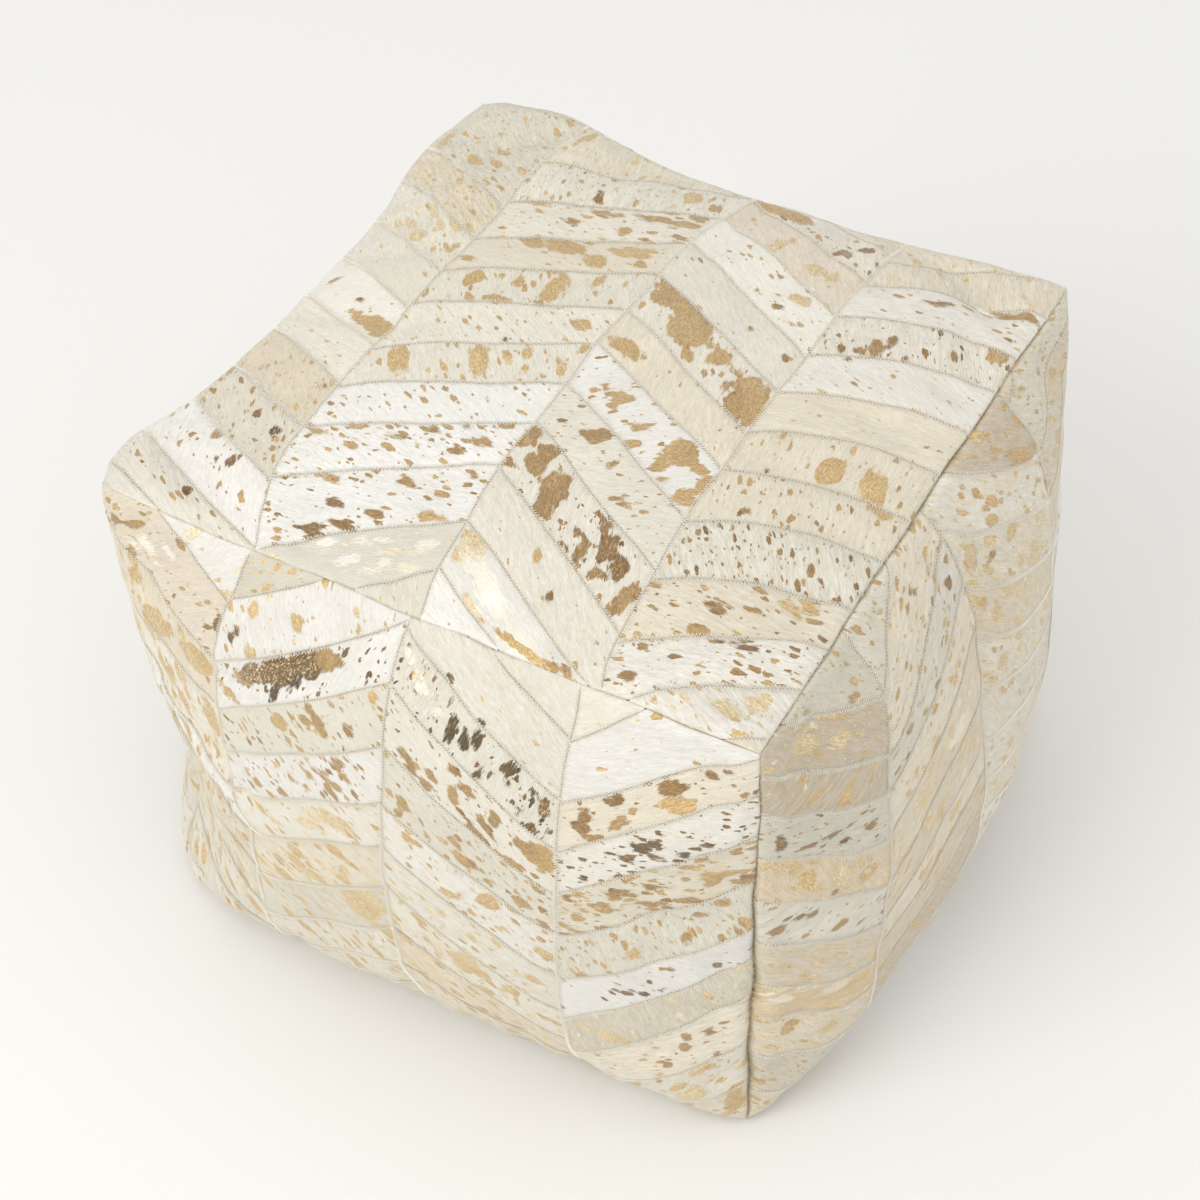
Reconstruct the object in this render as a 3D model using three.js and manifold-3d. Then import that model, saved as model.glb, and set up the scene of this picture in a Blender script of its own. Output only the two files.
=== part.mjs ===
// Soft cube pouf covered in patchwork hide.
// Five patchwork panels of four chevron columns each, a plain base, a zip let in low down on the back,
// and a filled liner bag inside. Millimetres, +Z up, the base rests on z = 0, -Y is the front.
import * as THREE from 'three';
import { mergeVertices } from 'three/addons/utils/BufferGeometryUtils.js';
import Module from 'manifold-3d';

const wasm = await Module();
wasm.setup();

// Frame of the cube, seam to seam
const HALF = 225;
const FOOT_HALF = 224;
const CORNER_Z = 384;
const FOOT_Z = 2.5;
const HEART_Z = CORNER_Z / 2;

// How the soft body fills out between its seams
const CROWN = 28;
const CROWN_POWER = 0.62;
const BULGE = { front: 55, right: 68, back: 55, left: 68 };
const BULGE_DROP = { front: 1.35, right: 1.35, back: 1.35, left: 1.8 };
const BULGE_POWER = 0.5;
const SIDE_POWER_TOP = 0.78;
const SIDE_POWER_FOOT = 0.45;
const EDGE_SAG = 8;
const EDGE_BOW = 4;

// The cover
const HIDE = 2.0;
const HALF_GAP = 0.15;
const BASE_THICK = 2.2;

// Where the columns of each panel meet, as a share of the panel's width, at its two ends
const COLUMNS = {
  top: [[0, 0], [0.18, 0.24], [0.475, 0.505], [0.745, 0.77], [1, 1]],
  front: [[0, 0], [0.24, 0.22], [0.505, 0.485], [0.77, 0.755], [1, 1]],
  right: [[0, 0], [0.24, 0.2], [0.49, 0.45], [0.755, 0.79], [1, 1]],
  back: [[0, 0], [0.255, 0.25], [0.525, 0.51], [0.82, 0.77], [1, 1]],
  left: [[0, 0], [0.25, 0.25], [0.5, 0.5], [0.75, 0.75], [1, 1]],
};

// Liner and filling, as shares of the cover's size
const LINER_OUT = { flat: 0.966, tall: 0.974 };
const LINER_IN = { flat: 0.961, tall: 0.969 };
const FILLING = { flat: 0.958, tall: 0.966 };

// Zip, let in along the lower back edge
const BACK_SEAM_Z = 24;
const BACK_SHARE = (CORNER_Z - BACK_SEAM_Z) / (CORNER_Z - FOOT_Z);
const ZIP_Z = 13.5;
const ZIP_Y = 222.9;
const ZIP_HALF_LENGTH = 200;
const TAPE_THICK = 0.8;
const ROW_GAP = 1.0;
const ROW_WIDE = 1.8;
const ROW_THICK = 1.8;
const STOP_LENGTH = 4;
const SLIDER_X = 188;
const SLIDER_LENGTH = 12;
const SLIDER_WIDE = 9;
const PLATE_THICK = 1.2;
const RUN_GAP = 0.3;
const PIN_RADIUS = 0.8;
const PIN_CLEARANCE = 0.08;
const EYE_RADIUS = 1.8;
const EYE_WIDE = 3.4;
const PULL_LENGTH = 26;
const PULL_WIDE = 6.4;
const PULL_THICK = 1.2;

const IVORY = 0xe0d9c8;
const CREAM = 0xdcd2bd;
const GREY = 0xd2cdbf;
const SAND = 0xd6c7ab;
const CANVAS = 0xcdc2ab;
const COTTON = 0xefece4;
const BEAD = 0xf6f5f1;
const TAPE = 0xd8cfbc;
const COIL = 0xc9bfa8;
const BRASS = 0xb08d57;

const OUTWARD = { front: [0, -1], right: [1, 0], back: [0, 1], left: [-1, 0] };

// 0 at both ends of the range, 1 in the middle
const middle = (t) => Math.max(0, 4 * t * (1 - t));

const hump = (t, centre, width) => Math.exp(-(((t - centre) / width) ** 2)) * Math.min(1, 6 * middle(t));

// The top seam of a side: how far it leaves the straight line between its corners
function topSeam(face, t) {
  let out = -EDGE_BOW * middle(t);
  let up = -EDGE_SAG * middle(t);
  if (face === 'left') {
    out += 13 * hump(t, 0.9, 0.09) + 11 * hump(t, 0.16, 0.12);
  }
  if (face === 'back') {
    up += 16 * hump(t, 0.84, 0.13);
  }
  return { out, up };
}

// The upright seam at the front left corner is drawn in over its height and spreads at the foot
function pinch(face, t, s) {
  const away = face === 'front' ? t : 1 - t;
  if (face !== 'front' && face !== 'left') return 0;
  const waist = 15 * Math.exp(-(((s - 0.7) / 0.24) ** 2)) * Math.min(1, 4 * s);
  const spread = 8 * Math.exp(-(((s - 0.98) / 0.12) ** 2));
  return (waist - spread) * Math.exp(-((away / 0.12) ** 2));
}

// t runs left to right seen from outside, s from the top seam to the foot seam
function sidePoint(face, t, s) {
  const [nx, ny] = OUTWARD[face];
  const half = HALF + (FOOT_HALF - HALF) * s;
  const seam = topSeam(face, t);
  const fade = (1 - s) ** 2;
  const drawn = pinch(face, t, s);
  const across = (2 * t - 1) * half + (face === 'front' ? drawn : -drawn);
  const share = face === 'back' ? Math.min(1, s / BACK_SHARE) : s;
  const profile = middle(share ** BULGE_DROP[face]) ** BULGE_POWER;
  const power = SIDE_POWER_TOP + (SIDE_POWER_FOOT - SIDE_POWER_TOP) * s;
  const out = half - drawn + seam.out * fade + BULGE[face] * profile * middle(t) ** power;
  const z = CORNER_Z + (FOOT_Z - CORNER_Z) * s + seam.up * fade;
  return new THREE.Vector3(nx * out - ny * across, ny * out + nx * across, z);
}

// u runs left to right, v from the back seam to the front seam
function topPoint(u, v) {
  const front = topSeam('front', u);
  const right = topSeam('right', 1 - v);
  const back = topSeam('back', 1 - u);
  const left = topSeam('left', v);
  const x = (2 * u - 1) * HALF + right.out * u ** 4 - left.out * (1 - u) ** 4;
  const y = (1 - 2 * v) * HALF - front.out * v ** 4 + back.out * (1 - v) ** 4;
  const sag = front.up * v ** 2 + back.up * (1 - v) ** 2 + right.up * u ** 4 + left.up * (1 - u) ** 4;
  const crown = CROWN * (middle(u) * middle(v)) ** CROWN_POWER;
  return new THREE.Vector3(x, y, CORNER_Z + sag + crown);
}

// The foot is flat, and filled in between its four seams
function footPoint(u, v) {
  const front = sidePoint('front', u, 1);
  const back = sidePoint('back', 1 - u, 1);
  const left = sidePoint('left', 1 - v, 1);
  const right = sidePoint('right', v, 1);
  const corner = (a, b) => sidePoint(b ? 'back' : 'front', a === b ? 0 : 1, 1);
  const sum = front.multiplyScalar(1 - v).addScaledVector(back, v);
  sum.addScaledVector(left, 1 - u).addScaledVector(right, u);
  sum.addScaledVector(corner(0, 0), -(1 - u) * (1 - v)).addScaledVector(corner(1, 0), -u * (1 - v));
  sum.addScaledVector(corner(0, 1), -(1 - u) * v).addScaledVector(corner(1, 1), -u * v);
  return sum;
}

const root = new THREE.Group();
root.name = 'moroccan_leather_pouf';

function add(name, geometry, colour, roughness = 0.8, metalness = 0) {
  const mesh = new THREE.Mesh(geometry, new THREE.MeshStandardMaterial({ color: colour, roughness, metalness }));
  mesh.name = name;
  root.add(mesh);
}

function geometryOf(points, triangles) {
  const geometry = new THREE.BufferGeometry();
  geometry.setAttribute('position', new THREE.Float32BufferAttribute(points.flatMap((p) => [p.x, p.y, p.z]), 3));
  geometry.setIndex(triangles);
  geometry.computeVertexNormals();
  return geometry;
}

// A slab between two grids of points. Each function takes (across, along), both 0 to 1.
function slab(outerAt, innerAt, cols, rows) {
  const points = [];
  const triangles = [];
  for (const pointAt of [outerAt, innerAt]) {
    for (let j = 0; j <= rows; j += 1) {
      for (let i = 0; i <= cols; i += 1) points.push(pointAt(i / cols, j / rows));
    }
  }
  const at = (layer, i, j) => layer * (rows + 1) * (cols + 1) + j * (cols + 1) + i;
  const quad = (a, b, c, d) => triangles.push(a, b, c, a, c, d);
  for (let j = 0; j < rows; j += 1) {
    for (let i = 0; i < cols; i += 1) {
      quad(at(0, i, j), at(0, i, j + 1), at(0, i + 1, j + 1), at(0, i + 1, j));
      quad(at(1, i, j), at(1, i + 1, j), at(1, i + 1, j + 1), at(1, i, j + 1));
    }
  }
  for (let i = 0; i < cols; i += 1) {
    quad(at(0, i, 0), at(0, i + 1, 0), at(1, i + 1, 0), at(1, i, 0));
    quad(at(0, i + 1, rows), at(0, i, rows), at(1, i, rows), at(1, i + 1, rows));
  }
  for (let j = 0; j < rows; j += 1) {
    quad(at(0, 0, j + 1), at(0, 0, j), at(1, 0, j), at(1, 0, j + 1));
    quad(at(0, cols, j), at(0, cols, j + 1), at(1, cols, j + 1), at(1, cols, j));
  }
  return geometryOf(points, triangles);
}

// Cover is drawn in towards the heart of the pouf, so that pieces which share a seam never cross
function hide(pointAt, cols, rows) {
  const heart = new THREE.Vector3(0, 0, HEART_Z);
  return slab(pointAt, (a, b) => pointAt(a, b).lerp(heart, HIDE / HALF), cols, rows);
}

// One chevron column of a panel, from end to end
function column(face, index, colour) {
  const gap = HALF_GAP / (2 * HALF);
  const [startA, startB] = COLUMNS[face][index];
  const [endA, endB] = COLUMNS[face][index + 1];
  const last = face === 'back' ? BACK_SHARE : 1;
  const pointAt = (a, b) => {
    const start = startA + (startB - startA) * b + gap;
    const end = endA + (endB - endA) * b - gap;
    const across = start + (end - start) * a;
    const along = gap + (last - 2 * gap) * b;
    return face === 'top' ? topPoint(across, along) : sidePoint(face, across, along);
  };
  add(`${face}_column_${index + 1}`, hide(pointAt, 5, face === 'top' ? 20 : 11), colour);
}

const TONES = [
  ['top', [GREY, IVORY, CREAM, IVORY]],
  ['front', [SAND, IVORY, CREAM, GREY]],
  ['right', [GREY, SAND, IVORY, CREAM]],
  ['back', [IVORY, GREY, SAND, CREAM]],
  ['left', [CREAM, IVORY, GREY, SAND]],
];
for (const [face, tones] of TONES) {
  tones.forEach((tone, index) => column(face, index, tone));
}

// Plain base, flat on the floor
const BASE_EDGE = 0.006;
const basePoint = (z) => (a, b) => {
  const p = footPoint(BASE_EDGE + (1 - 2 * BASE_EDGE) * a, BASE_EDGE + (1 - 2 * BASE_EDGE) * b);
  return new THREE.Vector3(p.x, p.y, z);
};

add('base_panel', slab(basePoint(0), basePoint(BASE_THICK), 10, 10), CANVAS, 0.9);

// The liner bag and what fills it follow the cover from inside
const ACROSS = [0, 0.1, 0.24, 0.4, 0.6, 0.76, 0.9, 1];
const DOWN = [0, 0.1, 0.24, 0.4, 0.6, 0.76, 0.88, BACK_SHARE, 1];

function bagSkin(size, inward, open) {
  const points = [];
  const triangles = [];
  const place = (p) => {
    points.push(new THREE.Vector3(p.x * size.flat, p.y * size.flat, HEART_Z + (p.z - HEART_Z) * size.tall));
    return points.length - 1;
  };
  const grid = (pointAt, cols, rows, skip) => {
    const index = rows.map((b) => cols.map((a) => place(pointAt(a, b))));
    for (let j = 0; j + 1 < rows.length; j += 1) {
      for (let i = 0; i + 1 < cols.length; i += 1) {
        if (skip && skip(i, j)) continue;
        const [p, q, r, s] = [index[j][i], index[j + 1][i], index[j + 1][i + 1], index[j][i + 1]];
        triangles.push(...(inward ? [p, r, q, p, s, r] : [p, q, r, p, r, s]));
      }
    }
    return index;
  };
  for (const face of Object.keys(OUTWARD)) {
    grid((a, b) => sidePoint(face, a, b), ACROSS, DOWN);
  }
  grid(topPoint, ACROSS, ACROSS);
  const foot = grid(footPoint, ACROSS, ACROSS, (i, j) => open && i === 3 && j === 3);
  return { points, triangles, foot };
}

function liner() {
  const outer = bagSkin(LINER_OUT, false, true);
  const inner = bagSkin(LINER_IN, true, true);
  const shift = outer.points.length;
  const points = [...outer.points, ...inner.points];
  const triangles = [...outer.triangles, ...inner.triangles.map((k) => k + shift)];
  // walls of the filling slot in the foot
  const ring = [[3, 3], [4, 3], [4, 4], [3, 4]];
  ring.forEach(([j, i], n) => {
    const [nj, ni] = ring[(n + 1) % 4];
    const a = outer.foot[j][i];
    const b = outer.foot[nj][ni];
    const c = inner.foot[nj][ni] + shift;
    const d = inner.foot[j][i] + shift;
    triangles.push(a, b, c, a, c, d);
  });
  return geometryOf(points, triangles);
}

function welded(geometry) {
  geometry.deleteAttribute('normal');
  const merged = mergeVertices(geometry, 1e-3);
  merged.computeVertexNormals();
  return merged;
}

const core = bagSkin(FILLING, false, false);
add('liner_bag', welded(liner()), COTTON, 0.9);
add('bead_filling', welded(geometryOf(core.points, core.triangles)), BEAD, 0.9);

// Boxes and rods of the zip, given by their limits
function block([x0, x1], [y0, y1], [z0, z1]) {
  const box = new THREE.BoxGeometry(x1 - x0, y1 - y0, z1 - z0);
  return box.translate((x0 + x1) / 2, (y0 + y1) / 2, (z0 + z1) / 2);
}

function rod(radius, z0, z1, x, y, sides = 24) {
  const cylinder = new THREE.CylinderGeometry(radius, radius, z1 - z0, sides);
  return cylinder.rotateX(Math.PI / 2).translate(x, y, (z0 + z1) / 2);
}

function solid(geometry) {
  const bare = geometry.clone();
  bare.deleteAttribute('normal');
  bare.deleteAttribute('uv');
  const merged = mergeVertices(bare, 1e-5);
  return new wasm.Manifold(new wasm.Mesh({
    numProp: 3,
    vertProperties: new Float32Array(merged.attributes.position.array),
    triVerts: new Uint32Array(merged.index.array),
  }));
}

function geometryFrom(manifold) {
  const mesh = manifold.getMesh();
  const geometry = new THREE.BufferGeometry();
  geometry.setAttribute('position', new THREE.BufferAttribute(new Float32Array(mesh.vertProperties), 3));
  geometry.setIndex(new THREE.BufferAttribute(new Uint32Array(mesh.triVerts), 1));
  geometry.computeVertexNormals();
  return geometry;
}

const zipEnds = [-ZIP_HALF_LENGTH, ZIP_HALF_LENGTH];
const rowInner = ROW_GAP / 2;
const rowOuter = rowInner + ROW_WIDE;
const tapeY = [ZIP_Y - TAPE_THICK / 2, ZIP_Y + TAPE_THICK / 2];
const rowY = [ZIP_Y - ROW_THICK / 2, ZIP_Y + ROW_THICK / 2];
const tapeTop = BACK_SEAM_Z - 2 * HALF_GAP;
const tapeFoot = FOOT_Z + 2 * HALF_GAP;
const stopX = ZIP_HALF_LENGTH - STOP_LENGTH - 1;

add('zip_tape_upper', block(zipEnds, tapeY, [ZIP_Z + rowOuter + RUN_GAP, tapeTop]), TAPE, 0.9);
add('zip_tape_lower', block(zipEnds, tapeY, [tapeFoot, ZIP_Z - rowOuter - RUN_GAP]), TAPE, 0.9);
const rowX = [-stopX + RUN_GAP, stopX - RUN_GAP];
add('zip_coil_upper', block(rowX, rowY, [ZIP_Z + rowInner, ZIP_Z + rowOuter]), COIL, 0.5);
add('zip_coil_lower', block(rowX, rowY, [ZIP_Z - rowOuter, ZIP_Z - rowInner]), COIL, 0.5);
const stopZ = [ZIP_Z - rowOuter, ZIP_Z + rowOuter];
add('zip_stop_closed_end', block([stopX, stopX + STOP_LENGTH], rowY, stopZ), BRASS, 0.35, 0.9);
add('zip_stop_open_end', block([-stopX - STOP_LENGTH, -stopX], rowY, stopZ), BRASS, 0.35, 0.9);

// Hide tabs close the two ends of the zip
const tabGap = HALF_GAP / (2 * HALF);
const tabInner = (FOOT_HALF - ZIP_HALF_LENGTH - HIDE - 2 * HALF_GAP) / (2 * FOOT_HALF);
function endTab(name, from, to) {
  const low = 1 - 2 * tabGap;
  const high = BACK_SHARE + 2 * tabGap;
  const pointAt = (a, b) => sidePoint('back', from + (to - from) * a, high + (low - high) * b);
  add(name, hide(pointAt, 2, 2), SAND);
}
endTab('zip_end_tab_right', 0.001, tabInner);
endTab('zip_end_tab_left', 1 - tabInner, 0.999);

// Slider: a plate outside and a plate inside, joined by a web that runs between the two rows
const sliderX = [SLIDER_X - SLIDER_LENGTH / 2, SLIDER_X + SLIDER_LENGTH / 2];
const sliderZ = [ZIP_Z - SLIDER_WIDE / 2, ZIP_Z + SLIDER_WIDE / 2];
const outerY = rowY[1] + RUN_GAP;
const innerY = rowY[0] - RUN_GAP;
const pinY = outerY + PLATE_THICK + EYE_RADIUS + 0.5;
const web = rowInner - RUN_GAP;
const lugFrom = EYE_WIDE / 2 + 0.25;
const lugTo = lugFrom + 1.1;
const overlap = 0.2;
const sliderParts = [
  block(sliderX, [outerY, outerY + PLATE_THICK], sliderZ),
  block(sliderX, [innerY - PLATE_THICK, innerY], sliderZ),
  block(sliderX, [innerY - overlap, outerY + overlap], [ZIP_Z - web, ZIP_Z + web]),
  rod(PIN_RADIUS, ZIP_Z - lugFrom - overlap, ZIP_Z + lugFrom + overlap, SLIDER_X, pinY),
];
for (const side of [-1, 1]) {
  const z = [ZIP_Z + side * lugFrom, ZIP_Z + side * lugTo].sort((a, b) => a - b);
  sliderParts.push(block([SLIDER_X - 1.5, SLIDER_X + 1.5], [outerY + PLATE_THICK - overlap, pinY], z));
  sliderParts.push(rod(1.5, z[0], z[1], SLIDER_X, pinY));
}
add('zip_slider', geometryFrom(wasm.Manifold.union(sliderParts.map(solid))), BRASS, 0.35, 0.9);

// Pull: an eye round the slider's pin, a neck and a flat blade with a hole near its end
const bladeY = [pinY - PULL_THICK / 2, pinY + PULL_THICK / 2];
const neckEnd = SLIDER_X - 4;
const bladeEnd = SLIDER_X - PULL_LENGTH;
const eyeZ = [ZIP_Z - EYE_WIDE / 2, ZIP_Z + EYE_WIDE / 2];
const across = (radius, x) => {
  const cylinder = new THREE.CylinderGeometry(radius, radius, 3 * PULL_THICK, 24);
  return cylinder.translate(x, pinY, ZIP_Z);
};
const blade = wasm.Manifold.union([
  solid(rod(EYE_RADIUS, eyeZ[0], eyeZ[1], SLIDER_X, pinY)),
  solid(block([neckEnd - 1, SLIDER_X - PIN_RADIUS], bladeY, eyeZ)),
  solid(block([bladeEnd, neckEnd], bladeY, [ZIP_Z - PULL_WIDE / 2, ZIP_Z + PULL_WIDE / 2])),
]);
const bore = solid(rod(PIN_RADIUS + PIN_CLEARANCE, eyeZ[0] - 1, eyeZ[1] + 1, SLIDER_X, pinY));
const fingerHole = solid(across(1.7, bladeEnd + 4.5));
add('zip_pull', geometryFrom(blade.subtract(bore).subtract(fingerHole)), BRASS, 0.35, 0.9);

export default root;
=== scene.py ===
import math

import bpy
import numpy as np
from mathutils import Matrix, Vector


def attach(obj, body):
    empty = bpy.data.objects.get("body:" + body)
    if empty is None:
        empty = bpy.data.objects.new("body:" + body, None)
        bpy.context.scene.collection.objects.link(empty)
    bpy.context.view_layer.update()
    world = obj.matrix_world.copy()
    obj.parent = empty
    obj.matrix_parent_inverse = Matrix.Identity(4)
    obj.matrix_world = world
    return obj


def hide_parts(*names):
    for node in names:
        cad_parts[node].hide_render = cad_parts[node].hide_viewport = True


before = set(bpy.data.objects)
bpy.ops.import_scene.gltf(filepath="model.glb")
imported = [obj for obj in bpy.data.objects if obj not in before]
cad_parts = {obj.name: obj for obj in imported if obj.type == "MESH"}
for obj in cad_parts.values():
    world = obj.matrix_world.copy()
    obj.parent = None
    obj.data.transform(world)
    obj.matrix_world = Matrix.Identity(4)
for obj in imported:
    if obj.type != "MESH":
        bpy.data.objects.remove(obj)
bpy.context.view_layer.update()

# ---------------------------------------------------------------- shape of the stuffed cube, in mm
HALF, FOOT_HALF = 225.0, 224.0
TOP_Z, FOOT_Z = 384.0, 2.5
HEART = np.array([0.0, 0.0, 190.0])
BACK_SHARE = (TOP_Z - 24.0) / (TOP_Z - FOOT_Z)
CROWN, CROWN_POWER = 28.0, 0.62
BULGE = {"front": 55.0, "right": 66.0, "back": 55.0, "left": 66.0}
BULGE_DROP = {"front": 1.35, "right": 1.35, "back": 1.35, "left": 1.8}
OUTWARD = {"front": (0, -1), "right": (1, 0), "back": (0, 1), "left": (-1, 0)}
FACES = ("top", "front", "right", "back", "left")
PANEL_WIDE = 450.0
PANEL_TALL = {"top": 450.0, "front": 395.0, "right": 395.0, "back": 372.0, "left": 395.0}


def middle(t):
    return np.maximum(0.0, 4 * t * (1 - t))


def unit(vector):
    return vector / np.maximum(np.linalg.norm(vector, axis=-1, keepdims=True), 1e-9)


def turned(x, y, degrees):
    """The same place measured along and across a direction at this angle."""
    c, s = math.cos(math.radians(degrees)), math.sin(math.radians(degrees))
    return x * c + y * s, y * c - x * s


def link(name, data):
    obj = bpy.data.objects.new(name, data)
    bpy.context.scene.collection.objects.link(obj)
    return obj


def hump(t, centre, width):
    return np.exp(-(((t - centre) / width) ** 2)) * np.minimum(1, 6 * middle(t))


def top_seam(face, t):
    out, up = -4 * middle(t), -8 * middle(t)
    if face == "left":
        out = out + 13 * hump(t, 0.9, 0.09) + 11 * hump(t, 0.16, 0.12)
    if face == "back":
        up = up + 16 * hump(t, 0.84, 0.13)
    return out, up


def drawn_in(face, t, s):
    if face not in ("front", "left"):
        return 0 * t
    away = t if face == "front" else 1 - t
    waist = 15 * np.exp(-(((s - 0.7) / 0.24) ** 2)) * np.minimum(1, 4 * s)
    spread = 8 * np.exp(-(((s - 0.98) / 0.12) ** 2))
    return (waist - spread) * np.exp(-((away / 0.12) ** 2))


def side_point(face, t, s):
    nx, ny = OUTWARD[face]
    half = HALF + (FOOT_HALF - HALF) * s
    out, up = top_seam(face, t)
    fade = (1 - s) ** 2
    pull = drawn_in(face, t, s)
    across = (2 * t - 1) * half + (pull if face == "front" else -pull)
    share = np.minimum(1, s / BACK_SHARE) if face == "back" else s
    profile = np.sqrt(middle(share ** BULGE_DROP[face]))
    swell = BULGE[face] * profile * middle(t) ** (0.78 - 0.33 * s)
    out = half - pull + out * fade + swell
    z = TOP_Z + (FOOT_Z - TOP_Z) * s + up * fade
    return np.stack([nx * out - ny * across, ny * out + nx * across, z], -1)


def top_point(u, v):
    f, r = top_seam("front", u), top_seam("right", 1 - v)
    b, l = top_seam("back", 1 - u), top_seam("left", v)
    x = (2 * u - 1) * HALF + r[0] * u ** 4 - l[0] * (1 - u) ** 4
    y = (1 - 2 * v) * HALF - f[0] * v ** 4 + b[0] * (1 - v) ** 4
    sag = f[1] * v ** 2 + b[1] * (1 - v) ** 2 + r[1] * u ** 4 + l[1] * (1 - u) ** 4
    return np.stack([x, y, TOP_Z + sag + CROWN * (middle(u) * middle(v)) ** CROWN_POWER], -1)


def plain_point(face, a, b):
    a, b = np.clip(a, 0, 1), np.clip(b, 0, 1)
    if face == "top":
        return top_point(a, b)
    return side_point(face, a, b * BACK_SHARE if face == "back" else b)


# ---------------------------------------------------------------- wrinkles, from a cloth simulation
CELLS = 40
WRINKLE_CAP = 7.0
SMOOTHINGS = 18
CLOTH_STEPS = 20
CLOTH = {
    "quality": 6, "mass": 0.35, "tension_stiffness": 12, "compression_stiffness": 12,
    "shear_stiffness": 4, "bending_stiffness": 0.4, "air_damping": 2, "use_pressure": True,
    "uniform_pressure_force": 3.0, "shrink_min": -0.03, "vertex_group_mass": "held",
}


def blur(grid, times):
    for _ in range(times):
        wide = np.pad(grid, ((1, 1), (1, 1), (0, 0)), mode="edge")
        around = wide[:-2, 1:-1] + wide[2:, 1:-1] + wide[1:-1, :-2] + wide[1:-1, 2:]
        grid = (around + 2 * wide[1:-1, 1:-1]) / 6
    return grid


def cloth_grids():
    """One net over all the panels: its points in metres, its quads and the point numbers of each panel."""
    share = np.linspace(0, 1, CELLS + 1)
    a, b = np.meshgrid(share, share)
    points, index, known, quads = [], {}, {}, []
    for face in FACES:
        grid = plain_point(face, a, b)
        ids = np.zeros(a.shape, int)
        for j in range(CELLS + 1):
            for i in range(CELLS + 1):
                key = tuple(np.round(grid[j, i], 1))
                if key not in known:
                    known[key] = len(points)
                    points.append(grid[j, i])
                ids[j, i] = known[key]
        index[face] = ids
        for j in range(CELLS):
            for i in range(CELLS):
                quads.append((ids[j, i], ids[j + 1, i], ids[j + 1, i + 1], ids[j, i + 1]))
    return np.array(points) / 1000, quads, index


def simulate_wrinkles():
    """The cover as one cloth, held along its panel seams and blown up from inside.
    What is kept is how far it ripples about its own smooth shape."""
    rest, quads, index = cloth_grids()
    mesh = bpy.data.meshes.new("cover_cloth")
    mesh.from_pydata([tuple(p) for p in rest], [], [tuple(int(k) for k in q) for q in quads])
    cloth = link("cover_cloth", mesh)
    held = cloth.vertex_groups.new(name="held")
    rim = set()
    for ids in index.values():
        rim.update(ids[0].tolist() + ids[-1].tolist() + ids[:, 0].tolist() + ids[:, -1].tolist())
    held.add([int(k) for k in rim], 1.0, "REPLACE")
    cloth_mod = cloth.modifiers.new("cloth", "CLOTH")
    for key, value in CLOTH.items():
        setattr(cloth_mod.settings, key, value)
    cloth_mod.settings.effector_weights.gravity = 0
    cloth_mod.point_cache.frame_end = CLOTH_STEPS + 2
    for step in range(1, CLOTH_STEPS + 1):
        bpy.context.scene.frame_set(step)
    done = cloth.evaluated_get(bpy.context.evaluated_depsgraph_get()).data
    moved = np.zeros(len(done.vertices) * 3)
    done.vertices.foreach_get("co", moved)
    moved = (moved.reshape(-1, 3) - rest) * 1000
    bpy.context.scene.frame_set(1)
    bpy.data.objects.remove(cloth)
    out = {}
    for face in FACES:
        field = moved[index[face]]
        field = field - blur(field, SMOOTHINGS)
        size = np.linalg.norm(field, axis=-1, keepdims=True)
        out[face] = field * np.minimum(1, WRINKLE_CAP / np.maximum(size, 1e-6))
    return out


wrinkles = simulate_wrinkles()


def spline_weights(f):
    return ((1 - f) ** 3 / 6, (3 * f ** 3 - 6 * f ** 2 + 4) / 6,
            (-3 * f ** 3 + 3 * f ** 2 + 3 * f + 1) / 6, f ** 3 / 6)


def fade_in(a, b, share):
    """0 on the edges of a panel, 1 from this share of its width inwards."""
    rim = np.minimum(np.minimum(a, 1 - a), np.minimum(b, 1 - b))
    return np.clip(rim / share, 0, 1)


def wrinkle_at(face, a, b):
    if face not in wrinkles:
        return 0
    grid = wrinkles[face]
    x, y = np.clip(a, 0, 1) * CELLS, np.clip(b, 0, 1) * CELLS
    i, j = np.minimum(x.astype(int), CELLS - 1), np.minimum(y.astype(int), CELLS - 1)
    wx, wy = spline_weights(x - i), spline_weights(y - j)
    total = 0
    for m in range(4):
        for n in range(4):
            cell = grid[np.clip(j + m - 1, 0, CELLS), np.clip(i + n - 1, 0, CELLS)]
            total = total + (wy[m] * wx[n])[..., None] * cell
    return total * fade_in(a, b, 0.03)[..., None]


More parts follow.
